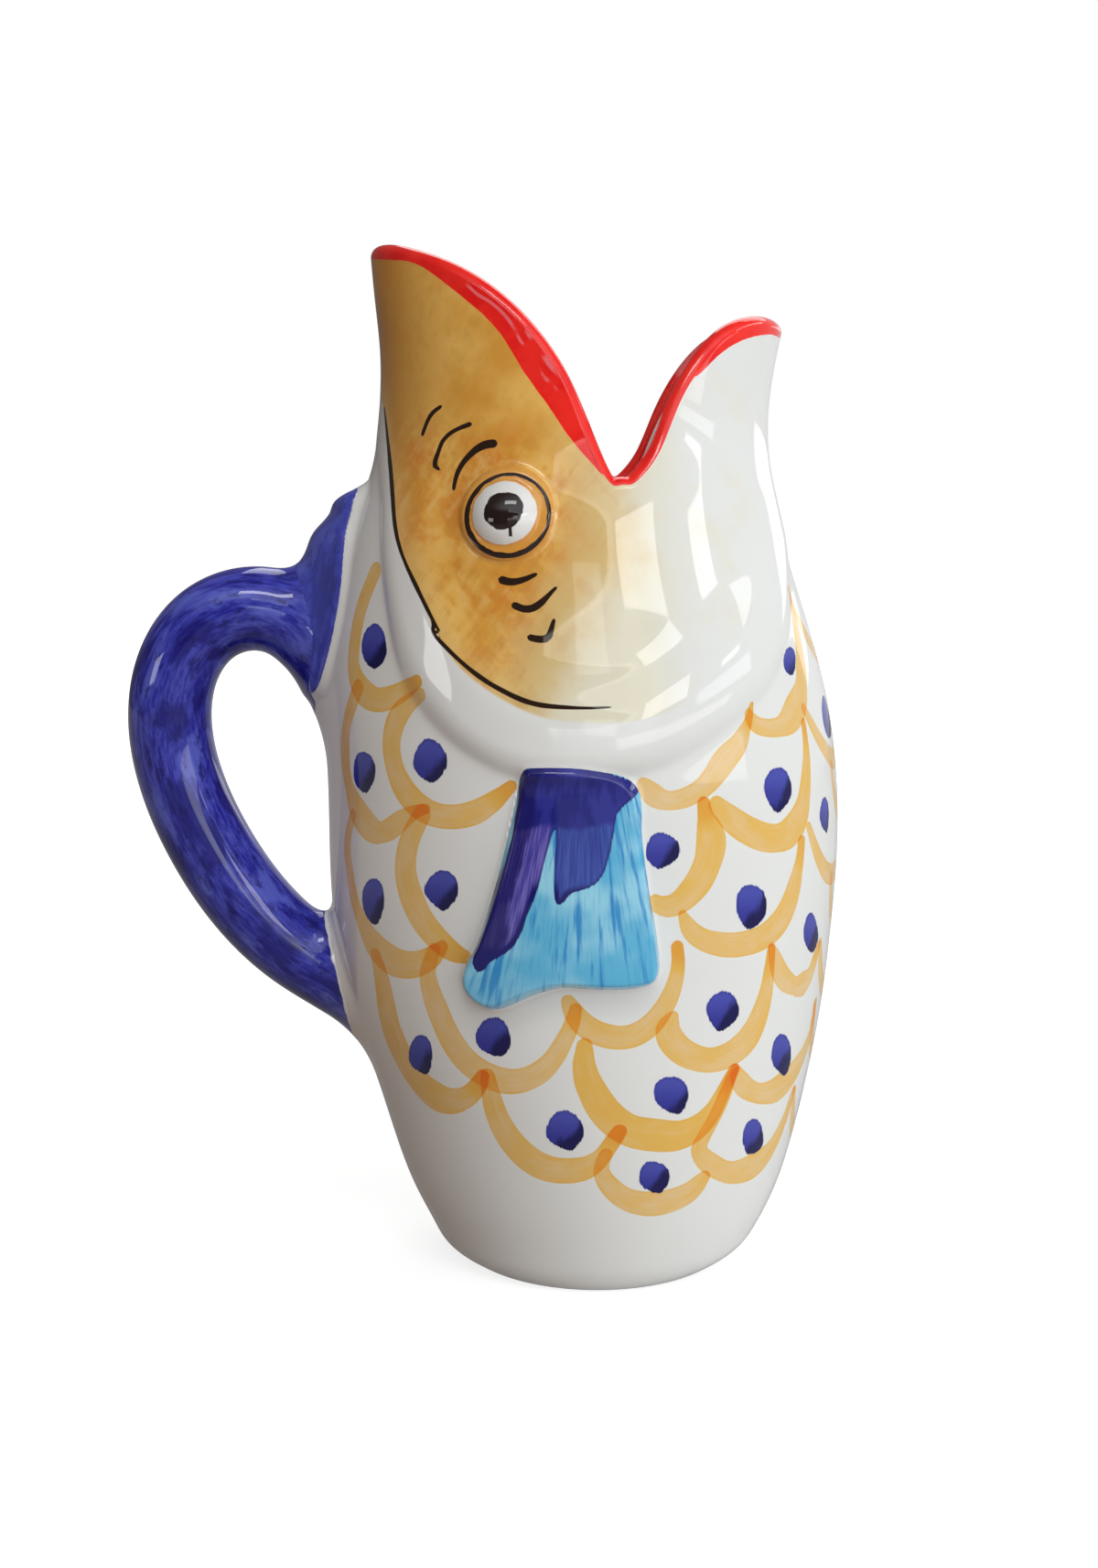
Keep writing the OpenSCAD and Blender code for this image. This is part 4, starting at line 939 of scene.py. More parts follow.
# Ochre scales, one layer over another: streaky, darker along their edges and where two overlap.
for number in range(len(scale_layers)):
    inside, along, across_line, load = field(tree, "scales_%d" % (number + 1))
    brush = use_group(tree, streaks, {"Along": along, "Across": across_line, "Stroke": 1.0})
    shape = step(tree, plus(tree, inside, wander(tree, brush["Bristles"], 0.4)), -0.1, 0.16)
    streak = plus(tree, step(tree, brush["Clouds"], 0.3, 0.7, -0.1, 0.08),
                  step(tree, brush["Bristles"], 0.3, 0.75, -0.05, 0.07))
    edge = step(tree, inside, 0.8, 0.1, 0.0, 0.12)
    thick = plus(tree, plus(tree, load, streak), edge)
    coat = maths(tree, "POWER", maths(tree, "MINIMUM", maths(tree, "MAXIMUM", thick, 0.0), 1.0), 0.75)
    colour = blend(tree, times(tree, shape, coat), colour, OCHRE, "MULTIPLY")
    extra = times(tree, shape, minus(tree, thick, 1.0), clamp=True)
    colour = blend(tree, extra, colour, OCHRE_TWICE, "MULTIPLY")
# Blue dots, with a darker rim and a pool at their lower right.
inside, level_at, height_at, stroke = field(tree, "dots")
brush = use_group(tree, streaks, {"Along": height_at, "Across": level_at, "Stroke": stroke})
shape = step(tree, plus(tree, inside, wander(tree, brush["Bristles"], 1.0)), -0.1, 0.2)
sunk = minus(tree, times(tree, height_at, 0.7), times(tree, level_at, 0.75))
sunk = plus(tree, sunk, wander(tree, brush["Clouds"], 5.0))
dot_blue = blend(tree, step(tree, height_at, 4.0, -3.0), DOT_TOP, DOT_LOW)
dot_blue = blend(tree, step(tree, inside, 1.0, 0.1, 0.0, 0.4), dot_blue, DOT_RIM)
dot_blue = blend(tree, step(tree, sunk, -0.3, -2.6), dot_blue, DOT_POOL)
colour = blend(tree, shape, colour, dot_blue)
# Black lines, whose width wanders a little.
across_line, half, along, stroke = field(tree, "lines")
brush = use_group(tree, streaks, {"Along": along, "Across": across_line, "Stroke": stroke})
reach = minus(tree, half, maths(tree, "ABSOLUTE", across_line))
reach = plus(tree, reach, wander(tree, brush["Clouds"], 0.35))
colour = blend(tree, step(tree, reach, -0.08, 0.12), colour, BLACK)
colour = blend(tree, head_group["Red"], colour, use_group(tree, red_paint)["Color"])
tree.links.new(colour, shader.inputs["Base Color"])
body.data.materials.append(body_material)
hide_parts("jug_body")
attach(body, "root")

# The lip is the rounded end of the wall, smoothed with a wet sponge. It is painted red in one long
# band over both jaws, which runs down a little on the inside too.
lip_rows = chain[body_top:inner_top + 1]
n_lip = len(lip_rows)
lip_points = np.concatenate([lip_rows.reshape(-1, 3), hidden_out, hidden_in])
lip_normals = np.concatenate([chain_normal[body_top:inner_top + 1].reshape(-1, 3),
                              np.tile([0, 0, -1.0], (2 * COLUMNS, 1))])
lip_faces = grid_faces(n_lip, COLUMNS) + [f[::-1] for f in grid_faces(2, COLUMNS, n_lip * COLUMNS)]
lip_angle = np.tile(angles, n_lip)
lip_head = head_fields(lip_angle, lip_rows[..., 2].ravel())
OUTER_ROWS, FULLY_RED = 4, 2.0
row_number = np.repeat(np.arange(n_lip), COLUMNS)
lip_head[row_number > OUTER_ROWS, 1] = FULLY_RED
lip_head = np.concatenate([lip_head, np.tile([OFF, OFF, 0.0], (2 * COLUMNS, 1))])
lip = make_piece("painted_lip", lip_points, lip_faces, lip_normals, {"head": lip_head})
lip_material, tree, shader = glaze_shader("painted_red_glaze")
head_group = use_group(tree, head_paint, {"Under": WHITE})
colour = blend(tree, head_group["Red"], head_group["Color"], use_group(tree, red_paint)["Color"])
tree.links.new(colour, shader.inputs["Base Color"])
lip.data.materials.append(lip_material)
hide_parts("mouth_lip")
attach(lip, "root")


# The two pectoral fins are pads of the same clay, stuck on the belly under the gill roll with slip
# and thickest at their lower edge. Each is painted with a fan of turquoise strokes, and over it a dark
# blue band with three prongs.
def pad_rings(loop, centre, shares, wider=0.0):
    """Rings of a pad from its outline, moved out by wider, to its middle."""
    way = np.roll(loop, -1, 0) - np.roll(loop, 1, 0)
    side = np.stack([way[:, 1], -way[:, 0]], -1) / np.linalg.norm(way, axis=1)[:, None]
    turned = np.sign(((loop - centre) * side).sum())
    rim = loop + side * wider * turned
    return np.array([centre + (rim - centre) * s for s in shares])


def pad_mesh(under, surface, top, bottom):
    """Points and faces of a pad: its rim on the skin under it, its rings, and the middles of both."""
    corners, rings = surface.shape[1], len(surface)
    points = np.concatenate([under.reshape(-1, 3), surface.reshape(-1, 3), [top, bottom]])
    faces = grid_faces(rings + 1, corners)
    faces += fan_faces(rings * corners + np.arange(corners), len(points) - 2)
    faces += fan_faces(np.arange(corners), len(points) - 1, flip=True)
    return points, faces


pad_shares = np.concatenate([np.linspace(1, 0.82, 24), np.linspace(0.82, 0.03, 40)[1:]])
FIN_MIDDLE = np.array([-3.0, FIN_TOP - FIN_H * 0.5])
fin_rings = pad_rings(fin_loop, FIN_MIDDLE, pad_shares, FIN_OVERLAP)
fin_angle = angle_of_x(fin_rings[..., 0], fin_rings[..., 1])
for _ in range(4):
    miss = base_skin(fin_angle, fin_rings[..., 1])[..., 0] - fin_rings[..., 0]
    fin_angle = fin_angle - np.degrees(miss / HALF_L / np.maximum(-np.sin(np.radians(fin_angle)), 0.3))
fin_surface = skin(fin_angle, fin_rings[..., 1], PROUD)[:, ::-1]
fin_under = base_skin(fin_angle[:1], fin_rings[:1, :, 1])[:, ::-1]
fin_points, fin_faces = pad_mesh(fin_under, fin_surface, fin_surface[-1].mean(0), fin_under[0].mean(0))
# Dark blue on the fin, as pixels: the band along its top with its three prongs.
fin_dark = [(570, 843), (583, 839), (629, 837), (670, 846), (700, 858), (692, 871), (678, 883), (673, 895),
            (670, 912), (666, 932), (660, 951), (651, 963), (640, 969), (624, 974), (616, 984), (609, 985),
            (605, 976), (606, 942), (608, 908), (604, 908), (601, 918), (594, 945), (587, 971), (578, 994),
            (568, 1020), (558, 1033), (546, 1042), (535, 1048), (529, 1057), (520, 1055), (517, 1044),
            (524, 1025), (534, 998), (543, 965), (555, 930), (563, 892), (567, 863)]
fin_dark_spots = at_pixels(closed_curve(fin_dark, 3))
fin_dark_loop = base_skin(*fin_dark_spots.T)[:, [0, 2]]
fin_flat = fin_points[:, [0, 2]]
# The turquoise strokes fan out from a point above the fin.
FAN_X, FAN_H, FAN_WIDTH = -2.0, FIN_TOP + 45.0, 75.0
fin_top_share = (FIN_TOP - fin_points[:, 2]) / FIN_H
fan_x, fan_down = fin_points[:, 0] - FAN_X, FAN_H - fin_points[:, 2]
dark_depth = np.clip(depth_near(fin_flat, fin_dark_loop, 30.0), -8, 8)
fan_length, fan_turn = np.hypot(fan_x, fan_down), np.arctan2(fan_x, fan_down)
fin_fields = {"fin": np.stack([dark_depth, fan_length, fan_turn * FAN_WIDTH, fin_top_share], -1)}
TURQUOISE_PALE, TURQUOISE, TURQUOISE_LOW = linear(154, 216, 238), linear(96, 184, 222), linear(60, 160, 214)
BROAD_STREAK, FINE_STREAK = linear(36, 136, 204), linear(26, 110, 184)
PRONG_BLUE, PRONG_PALE = linear(46, 68, 154), linear(66, 88, 176)
LAVENDER, LAVENDER_PALE = linear(74, 66, 162), linear(124, 112, 194)
PRONG_STREAK, BAND_DARK, BAND_BLUE = linear(38, 40, 134), linear(30, 30, 124), linear(46, 48, 144)
LEFT_SIDE, PRONG_END, PRONG_RIM = linear(20, 14, 98), linear(22, 20, 106), linear(22, 18, 106)
fin_material, tree, shader = glaze_shader("painted_fin_glaze")
dark_in, along, across_line, down = field(tree, "fin")
broad_at = {"Along": times(tree, along, 0.6), "Across": times(tree, across_line, 0.27), "Stroke": 3.0}
broad = use_group(tree, streaks, broad_at)
fine_at = {"Along": along, "Across": times(tree, across_line, 0.9), "Stroke": 9.0}
fine = use_group(tree, streaks, fine_at)
turquoise = blend(tree, step(tree, broad["Clouds"], 0.36, 0.62), TURQUOISE_PALE, TURQUOISE)
turquoise = blend(tree, step(tree, broad["Bristles"], 0.5, 0.66, 0.0, 0.9), turquoise, BROAD_STREAK)
turquoise = blend(tree, step(tree, fine["Bristles"], 0.52, 0.7, 0.0, 0.3), turquoise, FINE_STREAK)
turquoise = blend(tree, step(tree, down, 0.8, 1.0, 0.0, 0.35), turquoise, TURQUOISE_LOW)
# The prongs are thin blue, the left one lavender, and darker at their ends and edges.
fine_line = step(tree, fine["Bristles"], 0.36, 0.62)
thin = blend(tree, fine_line, PRONG_BLUE, PRONG_PALE)
lavender = blend(tree, fine_line, LAVENDER, LAVENDER_PALE)
thin = blend(tree, step(tree, across_line, -9.0, -10.5), thin, lavender)
dark = blend(tree, step(tree, broad["Bristles"], 0.45, 0.65, 0.0, 0.4), thin, PRONG_STREAK)
band = plus(tree, down, wander(tree, broad["Clouds"], 0.12))
band_blue = blend(tree, step(tree, fine["Clouds"], 0.4, 0.62), BAND_DARK, BAND_BLUE)
dark = blend(tree, step(tree, band, 0.24, 0.21), dark, band_blue)
shaky = plus(tree, across_line, wander(tree, fine["Clouds"], 4.0))
dark = blend(tree, step(tree, shaky, -14.8, -17.0, 0.0, 0.85), dark, LEFT_SIDE)
left_end = times(tree, step(tree, along, 88.0, 91.0), step(tree, across_line, -6.0, -8.0))
prong_end = times(tree, step(tree, along, 70.0, 74.0), step(tree, dark_in, 1.9, 0.9))
dark = blend(tree, maths(tree, "MAXIMUM", left_end, prong_end), dark, PRONG_END)
dark = blend(tree, step(tree, dark_in, 0.9, 0.2, 0.0, 0.6), dark, PRONG_RIM)
edge = plus(tree, dark_in, wander(tree, fine["Bristles"], 1.2))
colour = blend(tree, step(tree, edge, -0.15, 0.2), turquoise, dark)
tree.links.new(colour, shader.inputs["Base Color"])


def on_side(faces, mirror):
    """The faces, turned round for the mirror image."""
    return faces if mirror == 1 else [face[::-1] for face in faces]


for name, node, mirror in (("right_fin_relief", "right_pectoral_fin", 1),
                           ("left_fin_relief", "left_pectoral_fin", -1)):
    fin = make_piece(name, fin_points * [1, mirror, 1], on_side(fin_faces, mirror), fields=fin_fields)
    fin.data.materials.append(fin_material)
    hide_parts(node)
    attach(fin, "root")

# Each eye is a low ring of clay pressed on the head with a bulging ball in it. The ball is left white,
# with a black pupil, and a black line runs round the ring.
eye_out = np.cross(base_skin(eye_angle + 1, EYE_H) - base_skin(eye_angle - 1, EYE_H),
                   base_skin(eye_angle, EYE_H + 8) - base_skin(eye_angle, EYE_H - 8))
eye_out /= np.linalg.norm(eye_out)
eye_level = np.cross([0, 0, 1], eye_out)
eye_level /= np.linalg.norm(eye_level)
eye_up = np.cross(eye_out, eye_level)
EYE_SIDES, HEAD_TURN_R = 96, 46.0
ball_edge = EYE_BALL_R * 0.9
eye_r = np.concatenate([np.linspace(EYE_RING_R + EYE_OVERLAP, ball_edge, 30),
                        np.linspace(ball_edge, 0.2, 34)[1:]])
eye_turn = 2 * np.pi * np.arange(EYE_SIDES) / EYE_SIDES
eye_p = eye_r[:, None] * np.cos(eye_turn)
eye_q = eye_r[:, None] * np.sin(eye_turn)
a_guess = eye_angle + np.degrees(eye_p / HEAD_TURN_R)
z_guess = EYE_H + eye_q


def eye_flat(angle, z):
    """Where a point of the skin lies in the eye's own plane."""
    off = base_skin(angle, z) - eye_centre
    return off @ eye_level, off @ eye_up


for _ in range(6):
    p, q = eye_flat(a_guess, z_guess)
    a_guess = a_guess - np.degrees((p - eye_p) / HEAD_TURN_R)
    z_guess = z_guess - (q - eye_q)
eye_surface = skin(a_guess, z_guess, PROUD)
eye_under = base_skin(a_guess[:1], z_guess[:1])
eye_points, eye_faces = pad_mesh(eye_under, eye_surface, skin(eye_angle, EYE_H, PROUD), eye_centre)
flat_p = np.concatenate([eye_p[0], eye_p.ravel(), [0, 0]])
flat_q = np.concatenate([eye_q[0], eye_q.ravel(), [0, 0]])
eye_fields = {"eye": np.stack([flat_p, flat_q, np.hypot(flat_p, flat_q)], -1),
              "head": head_fields(np.concatenate([a_guess[0], a_guess.ravel(), [eye_angle] * 2]),
                                  np.concatenate([z_guess[0], z_guess.ravel(), [EYE_H] * 2]))}
eye_material, tree, shader = glaze_shader("painted_eye_glaze")
head_group = use_group(tree, head_paint, {"Under": WHITE})
eye_x, eye_y, eye_away, _ = field(tree, "eye")


def away_from(tree, x, y):
    """Distance from the point x, y of the eye's plane."""
    off_x, off_y = minus(tree, eye_x, x), minus(tree, eye_y, y)
    return maths(tree, "SQRT", plus(tree, times(tree, off_x, off_x), times(tree, off_y, off_y)))


RING_GOLD, EYE_WHITE = linear(222, 150, 62), linear(236, 235, 232)
RING_BLACK, PUPIL_BLACK = linear(40, 24, 15), linear(34, 20, 16)
eye_place = add_node(tree, "ShaderNodeCombineXYZ", {0: eye_x, 1: eye_y, 2: 0.0}).outputs[0]
shake = wander(tree, noise(tree, eye_place, 0.35, 2.0), 1.3)
white_edge = plus(tree, eye_away, times(tree, shake, 0.5))
colour = blend(tree, 0.7, head_group["Color"], RING_GOLD)
colour = blend(tree, step(tree, white_edge, 7.75, 7.45), colour, EYE_WHITE)
ring_r = plus(tree, away_from(tree, 0.6, -0.5), times(tree, shake, 0.4))
ring_at = maths(tree, "ABSOLUTE", minus(tree, ring_r, 9.75))
ring_width = step(tree, plus(tree, eye_x, eye_y), 8.0, -8.0, 0.42, 0.66)
ring_width = plus(tree, times(tree, shake, 0.3), ring_width)
colour = blend(tree, step(tree, minus(tree, ring_width, ring_at), -0.1, 0.1), colour, RING_BLACK)
pupil_edge = plus(tree, away_from(tree, 0.4, 0.5), times(tree, shake, 1.1))
colour = blend(tree, step(tree, pupil_edge, 4.55, 4.3), colour, PUPIL_BLACK)
drip_x = minus(tree, maths(tree, "ABSOLUTE", minus(tree, eye_x, 2.1)), 0.35)
drip_y = minus(tree, maths(tree, "ABSOLUTE", plus(tree, eye_y, 3.9)), 1.7)
colour = blend(tree, step(tree, maths(tree, "MAXIMUM", drip_x, drip_y), 0.15, -0.1), colour, PUPIL_BLACK)
tree.links.new(colour, shader.inputs["Base Color"])
for name, node, mirror in (("right_eye_relief", "right_eye", 1), ("left_eye_relief", "left_eye", -1)):
    eye = make_piece(name, eye_points * [1, mirror, 1], on_side(eye_faces, mirror), fields=eye_fields)
    eye.data.materials.append(eye_material)
    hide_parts(node)
    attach(eye, "root")

# The tail curls up from the belly to the back of the head as a hollow tube that serves as the
# handle; it is luted on with slip, whose fillets flare on to the body, and brushed all over in blue.
around = 2 * np.pi * np.arange(TAIL_SIDES) / TAIL_SIDES
swell = tail_swells[:, None]
thick = TAIL_T / 2 * swell * np.cos(around)
tail_surface = np.stack([tail_x[:, None] - (tail_dz / tail_norm)[:, None] * thick,
                         TAIL_W / 2 * swell * np.sin(around) * np.ones((TAIL_RINGS, 1)),
                         tail_z[:, None] + (tail_dx / tail_norm)[:, None] * thick], -1)
tail_middle = np.stack([tail_x, np.zeros(TAIL_RINGS), tail_z], -1)[:, None, :]


def gap_to_skin(points):
    """Distance of points from the jug's skin, and the level way out from it."""
    middle, half_l, half_w = section(points[..., 2])
    px, py = (points[..., 0] - middle) / half_l, points[..., 1] / half_w
    r = np.hypot(px, py)
    slope = np.stack([px / half_l / r, py / half_w / r], -1)
    steep = np.linalg.norm(slope, axis=-1)
    angle = np.degrees(np.arctan2(py, px))
    lift = relief(base_skin(angle, points[..., 2]))
    way = np.concatenate([slope / steep[..., None], np.zeros(r.shape + (1,))], -1)
    return (r - 1) / steep - gill_relief(angle, points[..., 2]) - lift, way


fillet = np.where(tail_at / tail_way[-1] > 0.5, FILLET_HIGH, FILLET_LOW)[:, None]
outward = tail_surface - tail_middle
outward /= np.linalg.norm(outward, axis=-1)[..., None]
grown = np.zeros(outward.shape[:2])
for _ in range(14):
    gap, way = gap_to_skin(tail_surface + outward * grown[..., None])
    gap = np.clip(gap, fillet * 0.1, fillet)
    grown = grown / 2 + (np.sqrt(fillet) - np.sqrt(gap)) ** 2 / 2
grown += 0.3 * ramp(0.2, 0.27, gap / fillet) - 0.24
tail_surface = tail_surface + outward * grown[..., None]
# The tube's two ends run on into the wall, and the blue ends on the fillet of the lower root.
END_DEPTH, BARE_EDGE = 1.5, 0.5
gap, way = gap_to_skin(tail_surface)
blue_in = np.where(fillet == FILLET_LOW, np.clip(gap - FILLET_LOW / 4 - BARE_EDGE, -3, 9), 9.0).reshape(-1)
tail_surface = tail_surface + way * np.maximum(-END_DEPTH - gap, 0)[..., None]
tail_faces = [face[::-1] for face in grid_faces(TAIL_RINGS, TAIL_SIDES)]
tail_ends = [tail_surface[0].mean(0), tail_surface[-1].mean(0)]
tail_points = np.concatenate([tail_surface.reshape(-1, 3), tail_ends])
last_ring = (TAIL_RINGS - 1) * TAIL_SIDES + np.arange(TAIL_SIDES)
tail_faces += fan_faces(np.arange(TAIL_SIDES), len(tail_points) - 2)
tail_faces += fan_faces(last_ring, len(tail_points) - 1, flip=True)
straight = np.stack(np.broadcast_arrays(TAIL_W / 2 * np.cos(around), TAIL_W / 2 * np.sin(around),
                                        tail_at[:, None]), -1).reshape(-1, 3)
tail_fields = {"tail": np.concatenate([straight, straight[[0, -1]]]),
               "blue": np.concatenate([blue_in, [-3, -3]])}

# Cobalt brushwork: long strokes laid beside and over each other, thin ones light, thick ones dark.
COBALT_DEEP, COBALT_THIN, COBALT_LIGHT = linear(36, 34, 150), linear(72, 78, 190), linear(96, 106, 208)
COBALT_THICK, COBALT_WISP, WEB_BLUE = linear(20, 16, 116), linear(14, 10, 96), linear(92, 102, 206)
cobalt, given, result = new_group(
    "cobalt_brushwork", [("Place", "NodeSocketVector", None)], [("Color", "NodeSocketColor")])
tree = cobalt
long_way = add_node(tree, "ShaderNodeMapping", {
    "Vector": given["Place"], "Scale": (1.0, 1.0, 0.22)}).outputs[0]
bend_way = add_node(tree, "ShaderNodeMapping", {
    "Vector": given["Place"], "Scale": (1.0, 1.0, 0.45), "Rotation": (0.5, 0.3, 0.0)}).outputs[0]
fine = noise(tree, long_way, 0.75, 5.0, 0.65)
broad = noise(tree, bend_way, 0.13, 3.0, 0.55)
wisps = noise(tree, bend_way, 0.42, 5.0, 0.7)
blue = blend(tree, step(tree, fine, 0.36, 0.66), COBALT_DEEP, COBALT_THIN)
blue = blend(tree, step(tree, broad, 0.5, 0.62, 0.0, 0.8), blue, COBALT_THICK)
blue = blend(tree, step(tree, broad, 0.46, 0.34, 0.0, 0.75), blue, COBALT_LIGHT)
blue = blend(tree, step(tree, wisps, 0.54, 0.64, 0.0, 0.7), blue, COBALT_WISP)
tree.links.new(blue, result.inputs["Color"])

# One material paints the tail and the tail fin. On the fin the field blue is ON_WEB, and there the
# strokes are a little thinner and lighter.
ON_WEB = 1000.0
tail_material, tree, shader = glaze_shader("painted_blue_glaze")
place = add_node(tree, "ShaderNodeAttribute", attribute_name="tail").outputs["Vector"]
edge = add_node(tree, "ShaderNodeAttribute", attribute_name="blue").outputs["Fac"]
mask = step(tree, plus(tree, edge, wander(tree, noise(tree, place, 0.3, 3.0), 0.9)), -0.12, 0.15)
brushed = use_group(tree, cobalt, {"Place": place})["Color"]
brushed = blend(tree, step(tree, edge, ON_WEB * 0.9, ON_WEB * 0.99, 0.0, 0.4), brushed, WEB_BLUE)
colour = blend(tree, mask, WHITE, brushed)
tree.links.new(colour, shader.inputs["Base Color"])
tail = make_piece("tail_tube", tail_points, tail_faces, fields=tail_fields)
tail.data.materials.append(tail_material)
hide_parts("tail_handle")
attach(tail, "root")

# The tail fin is a forked pad of clay that spreads over the back of the head, pressed down round the
# end of the tail, with a ridge that runs up its middle. It is brushed in the tail's blue.
WEB_MIDDLE = np.array([0.0, tail_fin_low + TAIL_FIN_H * 0.5])
web_rings = pad_rings(tail_fin_loop, WEB_MIDDLE, pad_shares, WEB_OVERLAP)
web_y, web_z = web_rings[..., 0], web_rings[..., 1]
web_angle = 180 - np.degrees(np.arcsin(np.clip(web_y / section(web_z)[2], -1, 1)))
for _ in range(4):
    miss = base_skin(web_angle, web_z)[..., 1] - web_y
    web_angle = web_angle + np.degrees(miss / HALF_W)
web_angle = np.where(web_angle > 180, web_angle - 360, web_angle)
web_surface = skin(web_angle, web_z, PROUD)[:, ::-1]
web_under = base_skin(web_angle[:1], web_z[:1])[:, ::-1]
web_points, web_faces = pad_mesh(web_under, web_surface, web_surface[-1].mean(0), web_under[0].mean(0))
web_fields = {"tail": np.stack([web_points[:, 1] * 0.8, web_points[:, 0] * 0.5, web_points[:, 2]], -1),
              "blue": np.full(len(web_points), ON_WEB)}
web = make_piece("tail_web", web_points, web_faces, fields=web_fields)
web.data.materials.append(tail_material)
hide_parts("tail_fin")
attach(web, "root")

# The table is a plain pale disc: white where it is seen, with the jug's shadow, and darker and
# warmer, most of all behind the jug, in the light that it gives back to the jug.
TABLE_R, TABLE_SIDES = 2.5, 64
turn = 2 * np.pi * np.arange(TABLE_SIDES) / TABLE_SIDES
rim = [(TABLE_R * math.cos(t), TABLE_R * math.sin(t), 0) for t in turn]
table_mesh = bpy.data.meshes.new("floor")
table_mesh.from_pydata(rim, [], [list(range(TABLE_SIDES))])
table = bpy.data.objects.new("floor", table_mesh)
bpy.context.scene.collection.objects.link(table)
table_material = bpy.data.materials.new("pale_floor")
table_material.use_nodes = True
tree = table_material.node_tree
tree.nodes.clear()


def seen_directly(tree, path, glossy_share):
    """Mask of the camera's rays and of a share of the glossy ones."""
    direct = plus(tree, path["Is Camera Ray"], path["Is Transmission Ray"])
    return plus(tree, direct, times(tree, path["Is Glossy Ray"], glossy_share), clamp=True)


WARM_GROUND, PALE_GROUND, BLACK_GROUND = (0.25, 0.14, 0.08, 1), (0.92, 0.92, 0.92, 1), (0, 0, 0, 1)
path = add_node(tree, "ShaderNodeLightPath").outputs
seen = seen_directly(tree, path, 0.25)
place = add_node(tree, "ShaderNodeTexCoord").outputs["Object"]
away = add_node(tree, "ShaderNodeVectorMath", {0: place}, operation="LENGTH").outputs["Value"]
ground_x = add_node(tree, "ShaderNodeSeparateXYZ", {0: place}).outputs[0]
ground = blend(tree, step(tree, ground_x, -0.08, 0.06), WARM_GROUND, PALE_GROUND)
ground = blend(tree, times(tree, path["Is Glossy Ray"], 0.8), ground, BLACK_GROUND)
bounce = add_node(tree, "ShaderNodeBsdfDiffuse", {"Color": ground}).outputs[0]
lit = add_node(tree, "ShaderNodeBsdfDiffuse", {"Color": (0.36, 0.36, 0.36, 1)}).outputs[0]
glow_strength = step(tree, away, 0.2, 0.7, 0.81, 1.02)
glow = add_node(tree, "ShaderNodeEmission", {"Color": (1, 1, 1, 1), "Strength": glow_strength}).outputs[0]
shown = add_node(tree, "ShaderNodeAddShader", {0: lit, 1: glow}).outputs[0]
mixed = add_node(tree, "ShaderNodeMixShader", {0: seen, 1: bounce, 2: shown}).outputs[0]
add_node(tree, "ShaderNodeOutputMaterial", {"Surface": mixed})
table.data.materials.append(table_material)

# The room: a wall of dim daylight from the jug's side round to its front, which ends on the left in
# a drawn curtain with a bright frame, a pale ceiling, and dark walls elsewhere. It looks white itself.
DARK_WALL, SIDE_WALL, FRONT_WALL = (0.05, 0.04, 0.033, 1), (0.4, 0.43, 0.45, 1), (0.65, 0.65, 0.65, 1)
NEAR_CURTAIN, FRAME = (1.6, 1.66, 1.7, 1), (2.9, 2.9, 2.8, 1)
CEILING_BACK, CEILING_SIDE = (0.12, 0.105, 0.09, 1), (1.65, 1.74, 1.8, 1)
SIDE_WAY = (0.26, -0.97, 0.0)
world = bpy.data.worlds.new("room")
bpy.context.scene.world = world
world.use_nodes = True
tree = world.node_tree


def step_round(tree, angle, low, high):
    """Soft step of an angle between two limits in degrees."""
    return step(tree, angle, math.radians(low), math.radians(high))


outlook = add_node(tree, "ShaderNodeTexCoord").outputs["Generated"]
direction = add_node(tree, "ShaderNodeSeparateXYZ", {0: outlook}).outputs
azimuth = maths(tree, "ARCTAN2", direction[1], direction[0])
elevation = maths(tree, "ARCSINE", direction[2])
# The curtain's edge bows to the right half way up.
bow = minus(tree, elevation, math.radians(21.5))
curtain = minus(tree, math.radians(-70), times(tree, times(tree, bow, bow), 20.4))
past_curtain = minus(tree, azimuth, maths(tree, "MAXIMUM", curtain, math.radians(-100)))
wall = times(tree, step(tree, past_curtain, -0.01, 0.03), step_round(tree, azimuth, 100, 84))
raised = step_round(tree, elevation, 4, 12)
frame_light = times(tree, step(tree, past_curtain, -0.01, 0.01), step(tree, past_curtain, 0.07, 0.04))
wall_light = blend(tree, step_round(tree, azimuth, 20, 50), SIDE_WALL, FRONT_WALL)
wall_light = blend(tree, times(tree, step_round(tree, azimuth, -56, -62), raised), wall_light, NEAR_CURTAIN)
room_light = blend(tree, wall, DARK_WALL, wall_light)
room_light = blend(tree, times(tree, frame_light, raised), room_light, FRAME)
side_on = add_node(tree, "ShaderNodeVectorMath", {0: outlook, 1: SIDE_WAY},
                   operation="DOT_PRODUCT").outputs["Value"]
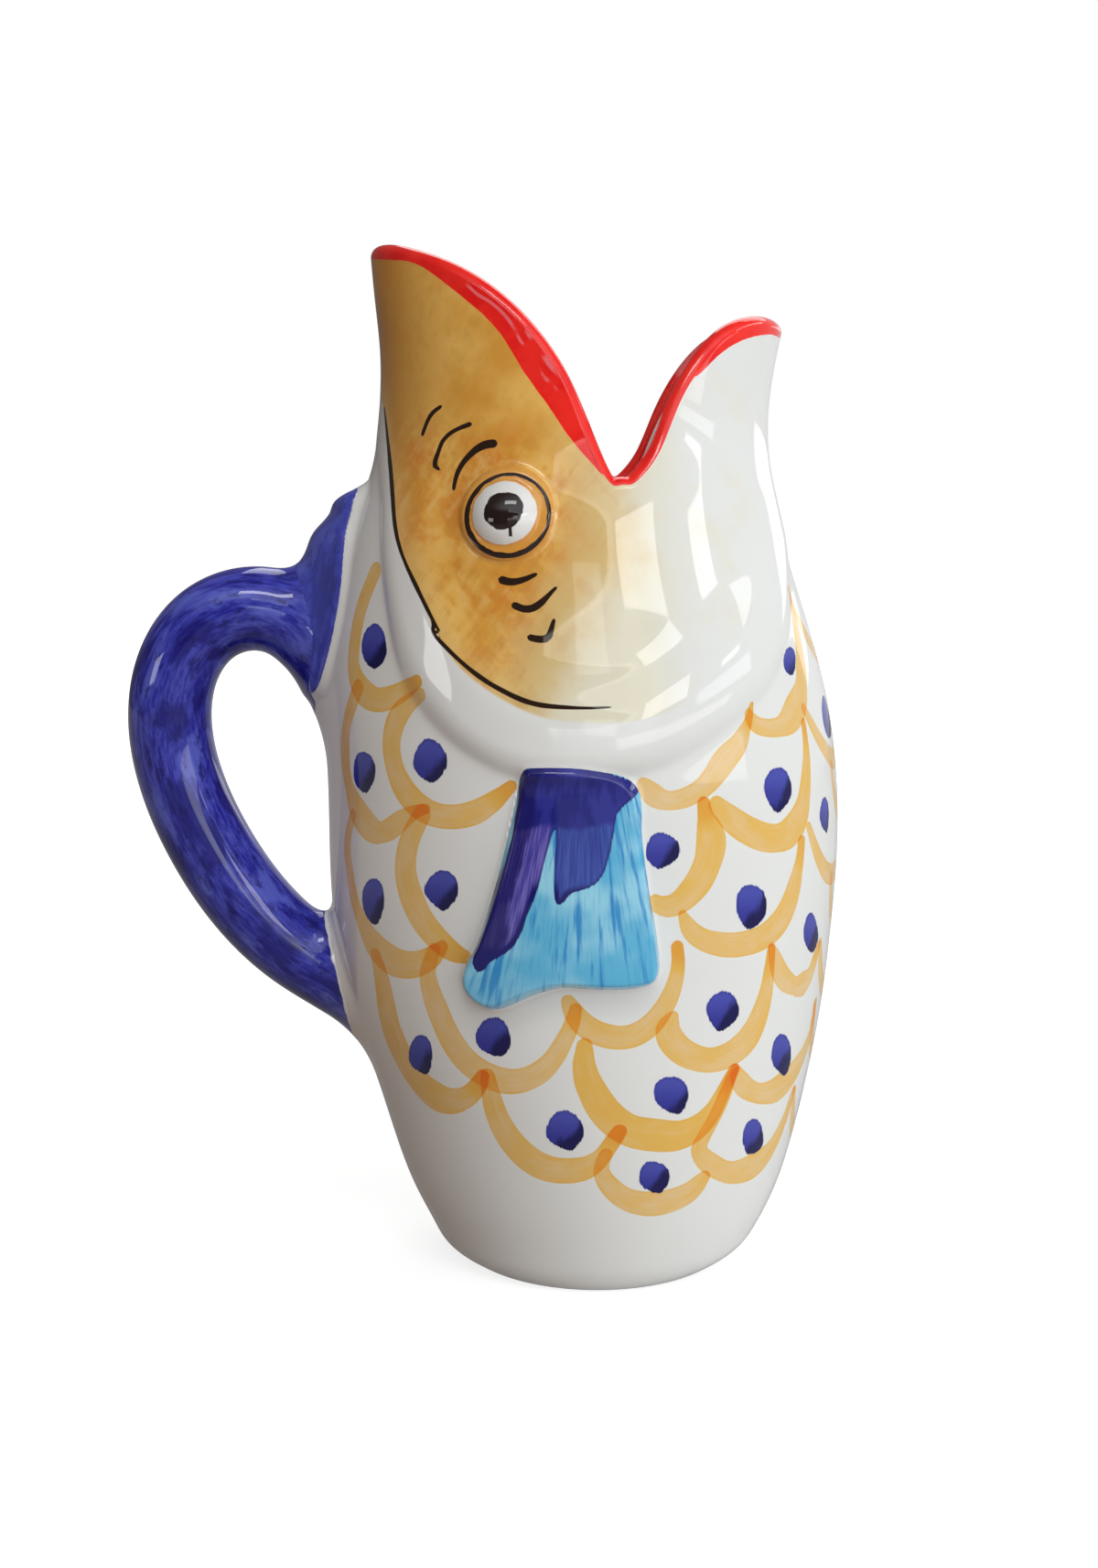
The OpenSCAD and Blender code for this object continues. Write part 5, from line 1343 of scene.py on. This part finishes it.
ceiling = blend(tree, step(tree, side_on, 0.05, 0.8), CEILING_BACK, CEILING_SIDE)
room_light = blend(tree, step_round(tree, elevation, 30, 42), room_light, ceiling)
path = add_node(tree, "ShaderNodeLightPath").outputs
room_light = blend(tree, seen_directly(tree, path, 0.1), room_light, (1, 1, 1, 1))
tree.links.new(room_light, tree.nodes["Background"].inputs["Color"])

# The windows are plain panels of light round the jug, and the glaze shows most of them.
PANEL_AIM = Vector((0, 0, 0.17))


def add_panel(name, azimuths, elevations, distance, radiance, colour=(1, 1, 1)):
    """Rectangular light that faces the jug and spans these directions; a radiance of 1 looks white."""
    a, e = math.radians(sum(azimuths) / 2), math.radians(sum(elevations) / 2)
    way = Vector((math.cos(e) * math.cos(a), math.cos(e) * math.sin(a), math.sin(e)))
    data = bpy.data.lights.new(name, "AREA")
    data.shape = "RECTANGLE"
    data.size = 2 * distance * math.tan(math.radians(azimuths[1] - azimuths[0]) / 2) * math.cos(e)
    data.size_y = 2 * distance * math.tan(math.radians(elevations[1] - elevations[0]) / 2)
    data.energy = radiance * data.size * data.size_y * math.pi
    data.color = colour
    panel = bpy.data.objects.new(name, data)
    panel.location = way * distance + PANEL_AIM
    panel.rotation_euler = way.to_track_quat("Z", "Y").to_euler()
    bpy.context.scene.collection.objects.link(panel)


add_panel("window_left", (-66, -46), (16, 23), 1.5, 4.6)
add_panel("window_right", (-27, -15.5), (17.6, 19.4), 1.5, 4.8)
add_panel("window_high", (-12, 28), (22.5, 31), 1.5, 3.2)
add_panel("window_sill", (-40, -8), (11.5, 15.2), 1.5, 2.6, (0.93, 0.97, 1))
add_panel("low_windows", (-75, -20), (1, 10), 1.5, 2.05)
add_panel("far_window", (36, 65), (4, 11), 1.5, 1.4)
add_panel("narrow_window", (-87, -75), (10, 20), 1.8, 1.6)
add_panel("left_window", (-153, -139), (3, 12), 2.0, 4.4)
add_panel("skylight", (-118, -78), (50, 58), 2.0, 8.0)
add_panel("back_window", (35, 105), (30, 62), 2.0, 2.2)

bpy.context.scene.view_settings.view_transform = "Standard"
